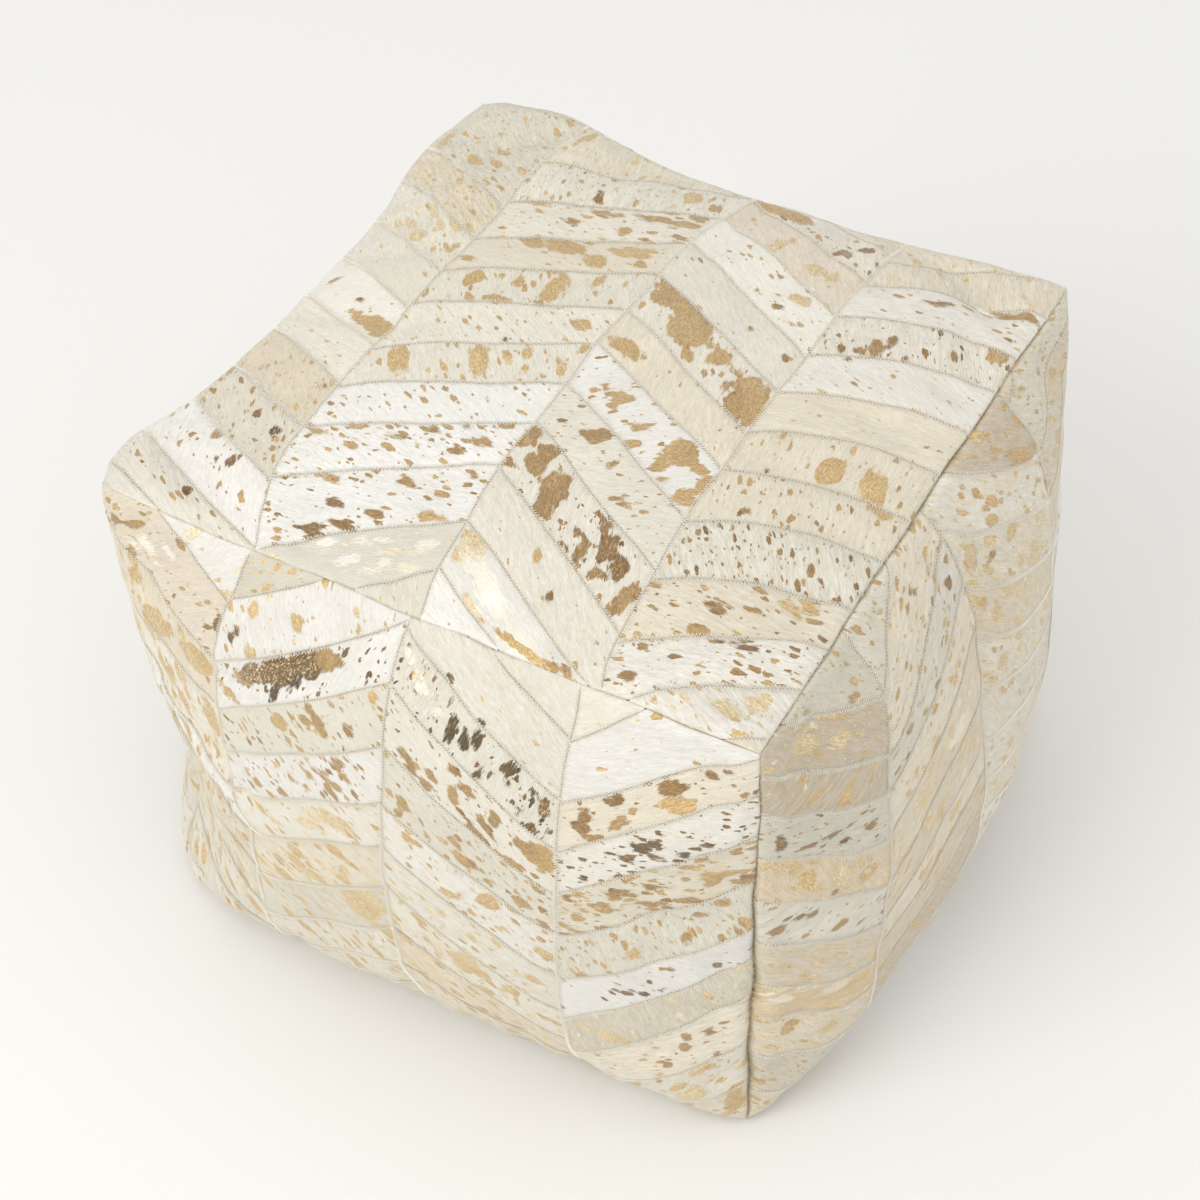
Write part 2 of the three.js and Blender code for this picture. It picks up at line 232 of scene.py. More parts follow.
# Creases and dents: panel, place (a, b), length and width in mm, angle, depth in mm (negative: a ridge)
CREASES = [
    ("front", 0.18, 0.93, 90, 55, 0, -8), ("front", 0.12, 0.4, 60, 7, 32, 3),
    ("front", 0.12, 0.52, 62, 8, 30, 3.4), ("front", 0.13, 0.64, 58, 8, 26, 3),
    ("front", 0.14, 0.75, 52, 8, 18, 2.6), ("front", 0.14, 0.86, 48, 8, 8, 2.4),
    ("front", 0.22, 0.24, 12, 4, -5, 2.4), ("front", 0.12, 0.46, 60, 9, 31, -2.2),
    ("front", 0.13, 0.58, 58, 9, 28, -2.2), ("front", 0.29, 0.145, 42, 7, -32, -2.4),
    ("front", 0.33, 0.19, 46, 6, -30, 1.6), ("front", 0.75, 0.55, 8, 110, 0, 1.6),
    ("front", 0.49, 0.45, 8, 120, 0, 1.4), ("front", 0.24, 0.45, 8, 90, 0, 1.6),
    ("front", 0.62, 0.52, 50, 12, 20, 1.6), ("top", 0.92, 0.4, 30, 9, -12, 2.6),
    ("top", 0.95, 0.105, 32, 6, -8, 3), ("top", 0.205, 0.62, 9, 120, 0, 1.4),
    ("top", 0.49, 0.55, 9, 150, 0, 1.2), ("top", 0.75, 0.45, 9, 140, 0, 1.2),
    ("top", 0.9, 0.8, 40, 14, -35, 2), ("right", 0.85, 0.55, 80, 90, 0, 4),
    ("right", 0.12, 0.2, 40, 9, 20, 2), ("right", 0.22, 0.3, 9, 80, 0, 2),
    ("right", 0.47, 0.3, 9, 70, 8, 3), ("right", 0.78, 0.16, 9, 50, -10, 3.4),
    ("right", 0.09, 0.6, 50, 9, 30, 2), ("right", 0.36, 0.52, 45, 9, -32, 1.8),
]


def crease_at(face, a, b):
    depth = 0 * a
    for name, ca, cb, length, width, angle, deep in CREASES:
        if name != face:
            continue
        x, y = turned((a - ca) * PANEL_WIDE, (b - cb) * PANEL_TALL[face], angle)
        depth = depth - deep * np.exp(-((x / length) ** 2) - (y / width) ** 2)
    return depth * fade_in(a, b, 0.04)


def ripple(point):
    """A slow unevenness in space, the same for panels that meet, in mm."""
    x, y, z = np.moveaxis(point / 23.0, -1, 0)
    return 0.7 * np.stack([
        np.sin(1.3 * y + 0.9 * z + 1.1) + 0.6 * np.sin(2.7 * z - 1.9 * x),
        np.sin(1.1 * z + 1.2 * x + 0.3) + 0.6 * np.sin(2.3 * x + 2.2 * y + 2.0),
        np.sin(0.9 * x - 1.4 * y + 2.6) + 0.6 * np.sin(2.9 * y - 1.7 * x + 0.5)], -1)


def rolled(a, b, tall, x):
    """How far the turned edges of a panel are drawn in, in mm, how near such an edge a point is, and
    how tight the edge is pulled: those on the right side (large x) are tighter than the others."""
    tight = np.clip((x - 110) / 90, 0, 1)
    side = np.minimum(a, 1 - a) * PANEL_WIDE
    end = np.minimum(b, 1 - b) * tall
    soft = 1.7 * (np.exp(-((side / 8) ** 2)) + np.exp(-((end / 8) ** 2)))
    near = np.minimum(side, end)
    return soft + (0.1 + 0.8 * tight) * np.exp(-(near ** 2)), near, tight


def cover_point(face, a, b):
    """Places and outward directions on the finished cover, before the seams of its strips."""
    step = 0.004
    base = plain_point(face, a, b) + wrinkle_at(face, a, b)

    def lean(da, db):
        return plain_point(face, np.clip(a + da, 0.001, 0.999), np.clip(b + db, 0.001, 0.999))

    base = base + ripple(base)
    normal = unit(np.cross(lean(0, step) - lean(0, -step), lean(step, 0) - lean(-step, 0)))
    return base + normal * crease_at(face, a, b)[..., None], normal


def raised_point(face, a, b, height):
    """Places at a height over the cover, with its panel edges drawn in, and the outward directions."""
    point, normal = cover_point(face, a, b)
    roll = rolled(a, b, PANEL_TALL[face], point[..., 0])[0]
    return point + normal * height + unit(HEART - point) * roll[..., None], normal


# ---------------------------------------------------------------- the strips of hide
# Hide colours, linear
TONES = {
    "snow": (0.81, 0.795, 0.755), "white": (0.77, 0.75, 0.705), "pearl": (0.755, 0.725, 0.655),
    "ivory": (0.73, 0.69, 0.60), "cream": (0.71, 0.65, 0.53), "satin": (0.70, 0.67, 0.585),
    "stone": (0.69, 0.655, 0.56), "grey": (0.655, 0.615, 0.515), "ash": (0.60, 0.555, 0.445),
    "peach": (0.70, 0.625, 0.515), "sand": (0.67, 0.595, 0.465), "wheat": (0.65, 0.55, 0.405),
    "straw": (0.70, 0.55, 0.35), "taupe": (0.56, 0.485, 0.375),
}

# Lines between the columns: places (along, across) in thousandths of the panel; the outer two are its edges
LINES = {
    "top": [
        [(0, 205), (250, 213), (360, 204), (500, 200), (620, 196), (750, 200), (830, 206), (880, 222),
         (930, 238), (1000, 250)],
        [(0, 500), (100, 490), (450, 486), (800, 489), (860, 495), (950, 500), (1000, 507)],
        [(0, 750), (200, 747), (500, 750), (680, 748), (850, 757), (930, 762), (1000, 776)],
    ],
    "front": [
        [(0, 245), (100, 222), (200, 205), (300, 206), (500, 216), (600, 238), (1000, 236)],
        [(0, 495), (100, 487), (500, 486), (700, 495), (1000, 495)],
        [(0, 750), (200, 746), (400, 750), (600, 752), (1000, 762)],
    ],
    "right": [
        [(0, 240), (120, 250), (180, 240), (320, 212), (400, 204), (500, 190), (700, 176), (1000, 190)],
        [(0, 490), (200, 488), (300, 470), (400, 452), (1000, 470)],
        [(0, 752), (130, 784), (200, 790), (500, 770), (1000, 750)],
    ],
    "back": [
        [(0, 245), (1000, 250)],
        [(0, 500), (1000, 495)],
        [(0, 755), (1000, 750)],
    ],
    "left": [
        [(0, 250), (1000, 240)],
        [(0, 495), (1000, 500)],
        [(0, 750), (1000, 755)],
    ],
}

# Seams across each column: places along it at its left and right lines, in thousandths of the panel
SEAMS = {
    "top": [
        [(140, 275), (225, 360), (330, 445), (425, 530), (525, 620), (605, 705), (700, 800), (785, 900),
         (875, 998), (950, 1080)],
        [(150, 10), (260, 110), (360, 215), (443, 305), (520, 400), (630, 490), (710, 575), (800, 665),
         (895, 750), (1000, 850), (1100, 935)],
        [(-70, 70), (20, 160), (105, 260), (205, 365), (305, 450), (400, 545), (485, 620), (575, 720),
         (660, 815), (755, 920), (850, 1010), (930, 1090)],
        [(100, -10), (170, 80), (260, 180), (360, 250), (450, 345), (540, 440), (620, 540), (725, 625),
         (830, 720), (935, 800), (1030, 880), (1130, 970)],
    ],
    "front": [
        [(-70, 95), (80, 215), (200, 310), (330, 500), (450, 600), (570, 700), (680, 800), (800, 900),
         (900, 990)],
        [(85, -100), (220, 0), (320, 100), (410, 220), (500, 330), (590, 430), (710, 535), (820, 640),
         (920, 740), (1010, 840), (1100, 930)],
        [(-80, 80), (10, 195), (100, 295), (220, 390), (335, 485), (430, 600), (530, 700), (640, 790),
         (740, 890), (840, 980), (930, 1070)],
        [(85, -140), (200, 10), (300, 90), (385, 190), (490, 300), (610, 420), (720, 500), (840, 600),
         (960, 740), (1070, 860)],
    ],
    "right": [
        [(-50, 125), (50, 235), (140, 305), (245, 395), (350, 490), (460, 585), (575, 685), (665, 760),
         (780, 860), (900, 970)],
        [(120, -80), (240, 40), (310, 130), (395, 220), (490, 330), (580, 430), (650, 510), (740, 610),
         (840, 710), (940, 810), (1040, 910)],
        [(-80, 150), (30, 250), (140, 350), (240, 430), (340, 510), (440, 610), (540, 700), (640, 790),
         (740, 880), (840, 970), (930, 1060)],
        [(30, -120), (150, 30), (250, 120), (350, 220), (450, 310), (540, 410), (630, 500), (730, 600),
         (830, 700), (920, 800), (1020, 900)],
    ],
}
for table in (LINES, SEAMS):
    for face, columns in table.items():
        table[face] = [[(p / 1000, q / 1000) for p, q in column] for column in columns]
# Two panels have even seams: where they start in each column and how far each one falls, in hundredths
for face, columns in (("back", ((-12, 11), (-3, -11), (-10, 12), (0, -11))),
                      ("left", ((-9, 12), (-1, -12), (-12, 11), (-3, -11)))):
    SEAMS[face] = [[(x / 100, x / 100 + fall / 100) for x in range(first, 110, 10)] for first, fall in columns]

# Each strip: tone, furriness, share of small spots, share of large spots, spot size, foil tone, hair angle.
# Foil tone: 0 pale gold, 0.5 gold, 1 dark bronze; below -0.15 a painted white glare (a painted highlight) with
# soft edges.
HIDES = {
    "top": [
        [("grey", 0.8, 0.35, 0.1, 1, 0.3, 40), ("sand", 1, 0.4, 0.2, 1, 0.25, 48),
         ("stone", 0.6, 0.4, 0.2, 1, 0.2, 50), ("stone", 0.3, 0.2, 0, 0.8, 0.2, 45),
         ("pearl", 0.2, 0.12, 0, 0.9, 0.5, -25), ("ivory", 0.3, 0.15, 0, 0.9, 0.3, 20),
         ("sand", 0.5, 0.35, 0.1, 0.9, 0.3, 60), ("grey", 0.6, 0.35, 0.1, 1, 0.5, 55),
         ("white", 0.3, 0.25, 0.05, 0.9, 0.55, 65), ("ivory", 0.5, 0.3, 0.05, 0.9, 0.6, 40),
         ("pearl", 0.3, 0.1, 0, 0.8, 0.5, 30)],
        [("cream", 0.8, 0.3, 0.1, 1, 0.2, 75), ("stone", 0.8, 0.5, 0.05, 0.8, 0.4, 80),
         ("ivory", 0.3, 0.3, 0.15, 1, 0.4, -8), ("cream", 0.3, 0.25, 0.1, 1, 0.35, -2),
         ("stone", 0.5, 0.3, 0.1, 1, 0.35, 60), ("ivory", 0.4, 0.3, 0, 0.9, 0.35, 35),
         ("ivory", 0.5, 0.3, 0.05, 1, 0.3, 52), ("snow", 0.3, 0.3, 0, 0.9, 0.45, 25),
         ("snow", 0.4, 0.45, 0.05, 0.95, 0.5, 8), ("snow", 0.4, 0.35, 0.05, 0.95, 0.6, -8),
         ("satin", 0.2, 0.12, 0, 1, 0.1, -25), ("stone", 0.3, 0.1, 0, 0.8, 0.5, 60)],
        [("cream", 0.5, 0.3, 0.2, 1, 0.4, 55), ("stone", 0.6, 0.35, 0.05, 1, 0.6, 60),
         ("peach", 0.5, 0.2, 0.1, 0.9, 0.2, 55), ("pearl", 0.3, 0.25, 0, 0.9, 0.45, 40),
         ("ivory", 0.4, 0.12, 0, 0.9, 0.5, 48), ("ivory", 0.4, 0.25, 0.05, 1, 0.45, 70),
         ("cream", 0.5, 0.08, 0, 0.8, 0.5, 75), ("white", 0.3, 0.3, 0.05, 1, 0.5, -35),
         ("ivory", 0.3, 0.35, 0, 0.9, 0.55, -15), ("ivory", 0.5, 0.35, 0.05, 1, 0.65, 75),
         ("ivory", 0.6, 0.12, 0, 0.9, 0.5, 48), ("white", 0.15, 0.1, 0.1, 1.2, 0.15, 35),
         ("white", 0.3, 0.1, 0, 0.8, 0.5, 30)],
        [("cream", 0.6, 0.3, 0.1, 1, 0.3, 50), ("cream", 0.8, 0.3, 0, 0.9, 0.2, 65),
         ("pearl", 0.4, 0.25, 0, 0.9, 0.5, -5), ("ivory", 0.8, 0.35, 0, 0.9, 0.7, 62),
         ("pearl", 0.3, 0.2, 0, 0.9, 0.4, 15), ("cream", 0.4, 0.1, 0, 0.8, 0.4, -15),
         ("cream", 0.5, 0.25, 0, 0.9, 0.4, 88), ("cream", 0.5, 0.4, 0, 0.9, 0.5, 75),
         ("stone", 0.8, 0.6, 0, 0.9, 0.65, 55), ("cream", 0.5, 0.35, 0.1, 1, 0.55, -5),
         ("pearl", 0.8, 0.45, 0.05, 1, 0.6, -12), ("pearl", 0.8, 0.3, 0.1, 1, 0.3, 20),
         ("cream", 0.6, 0.3, 0, 1, 0.5, 40)],
    ],
    "front": [
        [("white", 0.3, 0.3, 0.1, 1, 0.1, -40), ("peach", 0.3, 0.3, 0.1, 1, 0.5, -30),
         ("cream", 0.5, 0.3, 0.3, 1.1, 0.3, 70), ("ivory", 0.6, 0.4, 0.4, 1.1, 0.25, 70),
         ("snow", 0.6, 0.4, 0.15, 1.1, 0.3, 60), ("grey", 0.8, 0.5, 0.4, 1.1, 0.3, 60),
         ("grey", 0.7, 0.5, 0.4, 1.1, 0.25, 50), ("ivory", 0.7, 0.5, 0.4, 1.1, 0.3, 50),
         ("stone", 0.6, 0.5, 0.4, 1.1, 0.3, 50), ("ivory", 0.6, 0.5, 0.4, 1, 0.3, 50)],
        [("grey", 0.2, 0.3, 0.1, 1, 0.3, -30), ("white", 0.3, 0.25, 0.1, 0.9, 0.3, 70),
         ("white", 0.3, 0.35, 0.05, 1, 0.8, 110), ("stone", 0.3, 0.4, 0.1, 1, 0.55, 38),
         ("white", 0.3, 0.5, 0.1, 1, 0.5, 38), ("ivory", 0.3, 0.35, 0.3, 1.1, 0.3, 30),
         ("cream", 0.4, 0.4, 0.4, 1.1, 0.25, 20), ("grey", 0.4, 0.4, 0.3, 1.1, 0.25, 30),
         ("stone", 0.5, 0.45, 0.3, 1, 0.3, 50), ("stone", 0.6, 0.45, 0.3, 1, 0.3, 50),
         ("cream", 0.6, 0.5, 0.3, 1, 0.3, 50), ("ivory", 0.6, 0.4, 0.3, 1, 0.3, 50)],
        [("ivory", 0.4, 0.1, 0, 0.9, 0.2, 38), ("ivory", 0.6, 0.08, 0, 0.9, 0.2, 38),
         ("ivory", 0.4, 0.45, 0.05, 1, 0.9, 108), ("ivory", 0.3, 0.5, 0.1, 1, 0.6, 42),
         ("stone", 0.3, 0.55, 0.1, 1, 0.5, 40), ("pearl", 0.4, 0.45, 0.15, 1, 0.3, 35),
         ("ivory", 0.7, 0.4, 0.2, 1, 0.25, 30), ("stone", 0.6, 0.4, 0.3, 1.1, 0.3, 40),
         ("sand", 0.7, 0.5, 0.4, 1.1, 0.25, 45), ("cream", 0.6, 0.5, 0.35, 1, 0.3, 45),
         ("stone", 0.6, 0.5, 0.3, 1, 0.35, 45), ("cream", 0.6, 0.4, 0.3, 1, 0.35, 45)],
        [("ivory", 0.3, 0.1, 0, 0.9, 0.2, -25), ("white", 0.3, 0.08, 0, 0.9, 0.3, -20),
         ("cream", 0.3, 0.35, 0.05, 1, 0.65, -35), ("pearl", 0.3, 0.5, 0.05, 1, 0.8, -8),
         ("grey", 0.3, 0.7, 0.3, 1.15, 0.5, -12), ("stone", 0.5, 0.45, 0.1, 1, 0.4, 70),
         ("white", 0.2, 0.1, 0, 0.9, 0.8, 20), ("ash", 0.8, 0.2, 0.1, 1, 0.15, 75),
         ("cream", 0.5, 0.4, 0, 0.9, 0.45, -30), ("stone", 0.3, 0.3, 0.2, 1.2, 0.25, -55),
         ("cream", 0.4, 0.3, 0.3, 1.2, 0.25, -50)],
    ],
    "right": [
        [("grey", 0.5, 0.45, 0.1, 0.9, 0.35, 40), ("taupe", 0.7, 0.3, 0.3, 1, 0.2, 48),
         ("taupe", 0.9, 0.4, 0.25, 1, 0.25, -25), ("grey", 0.7, 0.4, 0, 0.9, 0.65, 25),
         ("wheat", 0.7, 0.35, 0.35, 1.2, 0.2, 70), ("stone", 0.6, 0.25, 0.05, 1, 0.6, -20),
         ("sand", 0.7, 0.3, 0.35, 1, 0.2, 40), ("straw", 0.6, 0.3, 0.6, 1.3, 0.15, 10),
         ("sand", 0.6, 0.35, 0.3, 1, 0.25, 50), ("ash", 0.5, 0.4, 0.1, 0.9, 0.4, 50),
         ("sand", 0.6, 0.3, 0.3, 1, 0.35, 50)],
        [("stone", 0.6, 0.45, 0.15, 1, 0.4, 45), ("cream", 0.6, 0.5, 0.15, 1, 0.4, -30),
         ("stone", 0.6, 0.5, 0, 1, 0.5, -40), ("cream", 0.6, 0.4, 0.15, 1, 0.3, -35),
         ("sand", 0.7, 0.35, 0.4, 1.1, 0.15, -35), ("sand", 0.7, 0.35, 0.35, 1, 0.2, -45),
         ("cream", 0.6, 0.3, 0.4, 1, 0.2, -40), ("sand", 0.6, 0.3, 0.3, 1, 0.3, -40),
         ("taupe", 0.6, 0.3, 0.2, 1, 0.3, 40), ("sand", 0.6, 0.3, 0.3, 1, 0.3, 40)],
        [("taupe", 0.9, 0.4, 0.4, 1, 0.3, 38), ("ivory", 0.6, 0.4, 0.3, 1, 0.3, 45),
         ("cream", 0.7, 0.4, 0.4, 1.1, 0.2, 45), ("sand", 0.7, 0.35, 0.5, 1.1, 0.2, 45),
         ("cream", 0.7, 0.35, 0.4, 1, 0.25, 45), ("ivory", 0.6, 0.35, 0.3, 1, 0.3, 60),
         ("ivory", 0.6, 0.35, 0.3, 1, 0.3, 40), ("cream", 0.6, 0.35, 0.3, 1, 0.3, 40)],
        [("sand", 0.9, 0.4, 0.3, 1, 0.3, 50), ("grey", 0.6, 0.4, 0.2, 0.9, 0.4, 40),
         ("sand", 0.6, 0.35, 0.3, 1, 0.3, 40), ("cream", 0.6, 0.35, 0.3, 1, 0.3, -30)],
    ],
}

# Tones to draw from for the strips that aren't listed
UNSEEN = ("stone", "ivory", "cream", "white", "grey", "peach", "ivory", "sand", "stone", "white")

# Blotches of foil, listed one by one: centre (a, b) in thousandths of the panel, half sizes in mm, angle,
# foil tone in hundredths
BLOTS = {face: [] for face in FACES}
BLOTS["top"] = [
    (165, 575, 20, 8, 12, 50), (190, 585, 8, 9, 0, 50), (130, 560, 12, 3, 12, 50), (120, 535, 4, 2, 0, 80),
    (45, 490, 7, 3, -30, 60), (115, 375, 7, 6, 0, 25), (187, 395, 3, 8, 0, 30), (180, 720, 4, 3, 0, 70),
    (130, 800, 3, 4, 0, 80), (175, 820, 3, 5, 0, 90), (180, 860, 2, 4, 20, 80), (140, 895, 2, 4, 0, 80),
    (160, 890, 3, 4, 0, 80), (130, 955, 3, 3, 0, 90), (30, 140, 4, 20, -10, 30), (320, 175, 3, 7, 0, 70),
    (310, 108, 3, 5, 0, 50), (430, 85, 6, 11, -10, 35), (470, 85, 5, 6, 0, 50), (225, 50, 4, 14, 0, 30),
    (465, 135, 7, 7, 0, 50), (460, 165, 9, 6, -20, 50), (420, 178, 16, 4, -14, 55),
    (350, 203, 12, 4, -16, 50), (392, 232, 6, 6, 0, 45), (318, 253, 6, 4, 0, 60),
    (465, 207, 10, 2.5, 0, 60), (435, 277, 11, 8, 0, 35), (290, 330, 10, 7, 0, 45),
    (335, 318, 15, 8, -14, 40), (390, 322, 9, 6, 0, 40), (455, 298, 5, 4, 0, 50),
    (250, 245, 8, 2.5, -14, 40), (350, 374, 10, 3, 0, 35), (370, 405, 7, 16, -4, 35),
    (415, 365, 4, 8, 20, 30), (228, 408, 7, 3, 0, 45), (255, 440, 6, 8, 20, 40), (315, 467, 9, 4, 0, 40),
    (320, 415, 4, 6, 20, 35), (370, 445, 5, 3, 0, 50), (450, 462, 8, 6, 20, 35), (478, 507, 4, 6, 0, 35),
    (355, 590, 14, 7, 60, 30), (410, 545, 6, 3, 70, 30), (370, 537, 3, 3, 0, 80), (252, 635, 14, 8, 55, 30),
    (465, 550, 7, 4, 60, 30), (457, 683, 5, 4, 20, 60), (446, 730, 8, 5, -10, 60),
    (425, 757, 8, 3, -10, 55), (370, 730, 5, 3, 0, 60), (340, 765, 6, 3, 0, 60), (410, 712, 4, 2.5, 0, 60),
    (275, 770, 8, 3, -15, 40), (225, 800, 7, 3, 0, 50), (465, 782, 4, 2.5, 0, 60), (391, 828, 6, 4, 0, 70),
    (295, 866, 9, 3, -10, 50), (322, 898, 6, 4, 0, 80), (378, 892, 7, 4, 0, 65), (445, 862, 9, 4, -12, 50),
    # the blotches of tone 0 and 0.02 from (380, 965) to (420, 965) are painted glints: white-gold streaks on
    # the satin strip
    (355, 922, 9, 4, -10, 75), (315, 942, 9, 4, -8, 80), (380, 965, 10, 4, -35, 0),
    (465, 910, 8, 6, -35, 0), (430, 950, 5, 4, -35, 0), (400, 925, 10, 3, -20, 0),
    (440, 925, 11, 3.5, -25, 2), (460, 945, 9, 3.5, -25, 0), (340, 955, 7, 3.5, -30, 2),
    (420, 965, 8, 3, -30, 0), (530, 22, 14, 9, 10, 50), (575, 32, 16, 8, 14, 50), (710, 80, 6, 4, -30, 70),
    (675, 105, 3, 4, 0, 70), (620, 75, 3, 3, 0, 70), (677, 172, 8, 6, 0, 20), (705, 175, 4, 6, 0, 20),
    (600, 150, 5, 14, 10, 20), (670, 287, 5, 3, 0, 65), (690, 255, 9, 6, 20, 25), (700, 310, 5, 2, 0, 40),
    (725, 383, 4, 3, 0, 65), (660, 355, 3, 2, 0, 65), (585, 390, 15, 21, 0, 50), (560, 360, 13, 12, 30, 50),
    (605, 410, 8, 10, 0, 50), (520, 350, 9, 12, -10, 50), (505, 325, 6, 6, 0, 50), (610, 448, 6, 5, 30, 50),
    (648, 430, 6, 10, 20, 50), (632, 412, 8, 4, 20, 50), (683, 442, 8, 4, 30, 50), (685, 475, 3, 7, 10, 50),
    (722, 490, 12, 19, 4, 55), (710, 455, 8, 8, 0, 50), (738, 515, 6, 12, 0, 55), (525, 478, 13, 7, 14, 40),
    (565, 570, 7, 5, 60, 50), (563, 588, 4, 4, 0, 50), (628, 596, 6, 3, -30, 50), (615, 612, 8, 3, -20, 50),
    (540, 565, 5, 2.5, 60, 60), (690, 622, 11, 11, 20, 50), (720, 635, 11, 4, 12, 50),
    (675, 645, 5, 8, 30, 50), (742, 660, 4, 12, 0, 50), (733, 690, 8, 7, -20, 50), (695, 675, 4, 3, 0, 50),
    (575, 652, 10, 7, -20, 60), (623, 678, 3, 6, 20, 60), (668, 735, 5, 2.5, 0, 60),
    (500, 690, 7, 10, 0, 65), (535, 705, 8, 7, 20, 65), (530, 730, 9, 7, 20, 65), (576, 765, 9, 18, 0, 68),
    (563, 745, 6, 7, 0, 62), (583, 792, 6, 7, 0, 70), (493, 742, 6, 3, 0, 65), (635, 805, 3, 4.5, 0, 70),
    (627, 832, 4, 2.5, 30, 70), (655, 830, 4.5, 10, -15, 70), (684, 812, 7, 13, -10, 80),
    (665, 785, 4, 3, 0, 70), (711, 835, 7, 9, -10, 80), (690, 853, 7, 4, 0, 72), (657, 770, 7, 2.5, 25, 70),
    (742, 870, 6, 13, 10, 66), (733, 893, 5, 5, 0, 66), (607, 860, 2.5, 6, -20, 40),
    (651, 905, 2.5, 5, -20, 80), (735, 942, 3, 2, 0, 70), (515, 885, 7, 14, -10, 20),
    # (590, 945) and (635, 970), of tone -0.22 and -0.30, are a painted white glare over the satin strip
    (530, 905, 8, 6, 30, 15), (590, 945, 34, 9, 40, -22), (635, 970, 26, 10, 32, -30),
    (525, 885, 9, 13, -20, 12), (545, 915, 9, 6, 30, 6), (660, 990, 30, 3, 12, 40),
    (720, 995, 12, 3.5, 10, 60), (950, 103, 22, 3.5, -4, 55), (920, 110, 8, 3, 0, 50),
    (783, 165, 5, 2, -10, 75), (853, 160, 7, 2.5, -20, 75), (870, 148, 4, 2, 0, 70),
    (895, 135, 4, 2, 0, 50), (823, 300, 5, 9, 0, 70), (840, 275, 3, 5, 0, 70), (868, 293, 3, 3, 0, 75),
    (810, 315, 4, 3, 0, 70), (972, 192, 7, 9, 0, 55), (925, 240, 3, 6, -20, 70), (785, 325, 3, 3, 0, 80),
    (800, 335, 2.5, 4, 0, 80), (873, 538, 8, 12, 24, 32), (935, 527, 9, 15, -14, 32),
    (960, 555, 9, 5, -10, 32), (797, 525, 3, 6, 10, 50), (812, 672, 3, 4, 0, 70), (802, 590, 2.5, 3, 0, 75),
    (850, 827, 8, 5, -15, 70), (893, 803, 5, 3, 0, 65), (885, 770, 5, 2.5, 0, 60), (928, 768, 6, 4, 0, 25),
    (950, 752, 6, 4, 0, 25), (940, 775, 6, 3, 0, 30), (900, 850, 7, 3, -30, 75),
    (915, 862, 8, 2.5, -15, 75), (870, 868, 3, 2, 0, 80), (800, 972, 5, 3.5, -10, 70),
    (930, 955, 10, 5, 10, 20), (960, 930, 8, 6, 10, 20),
]
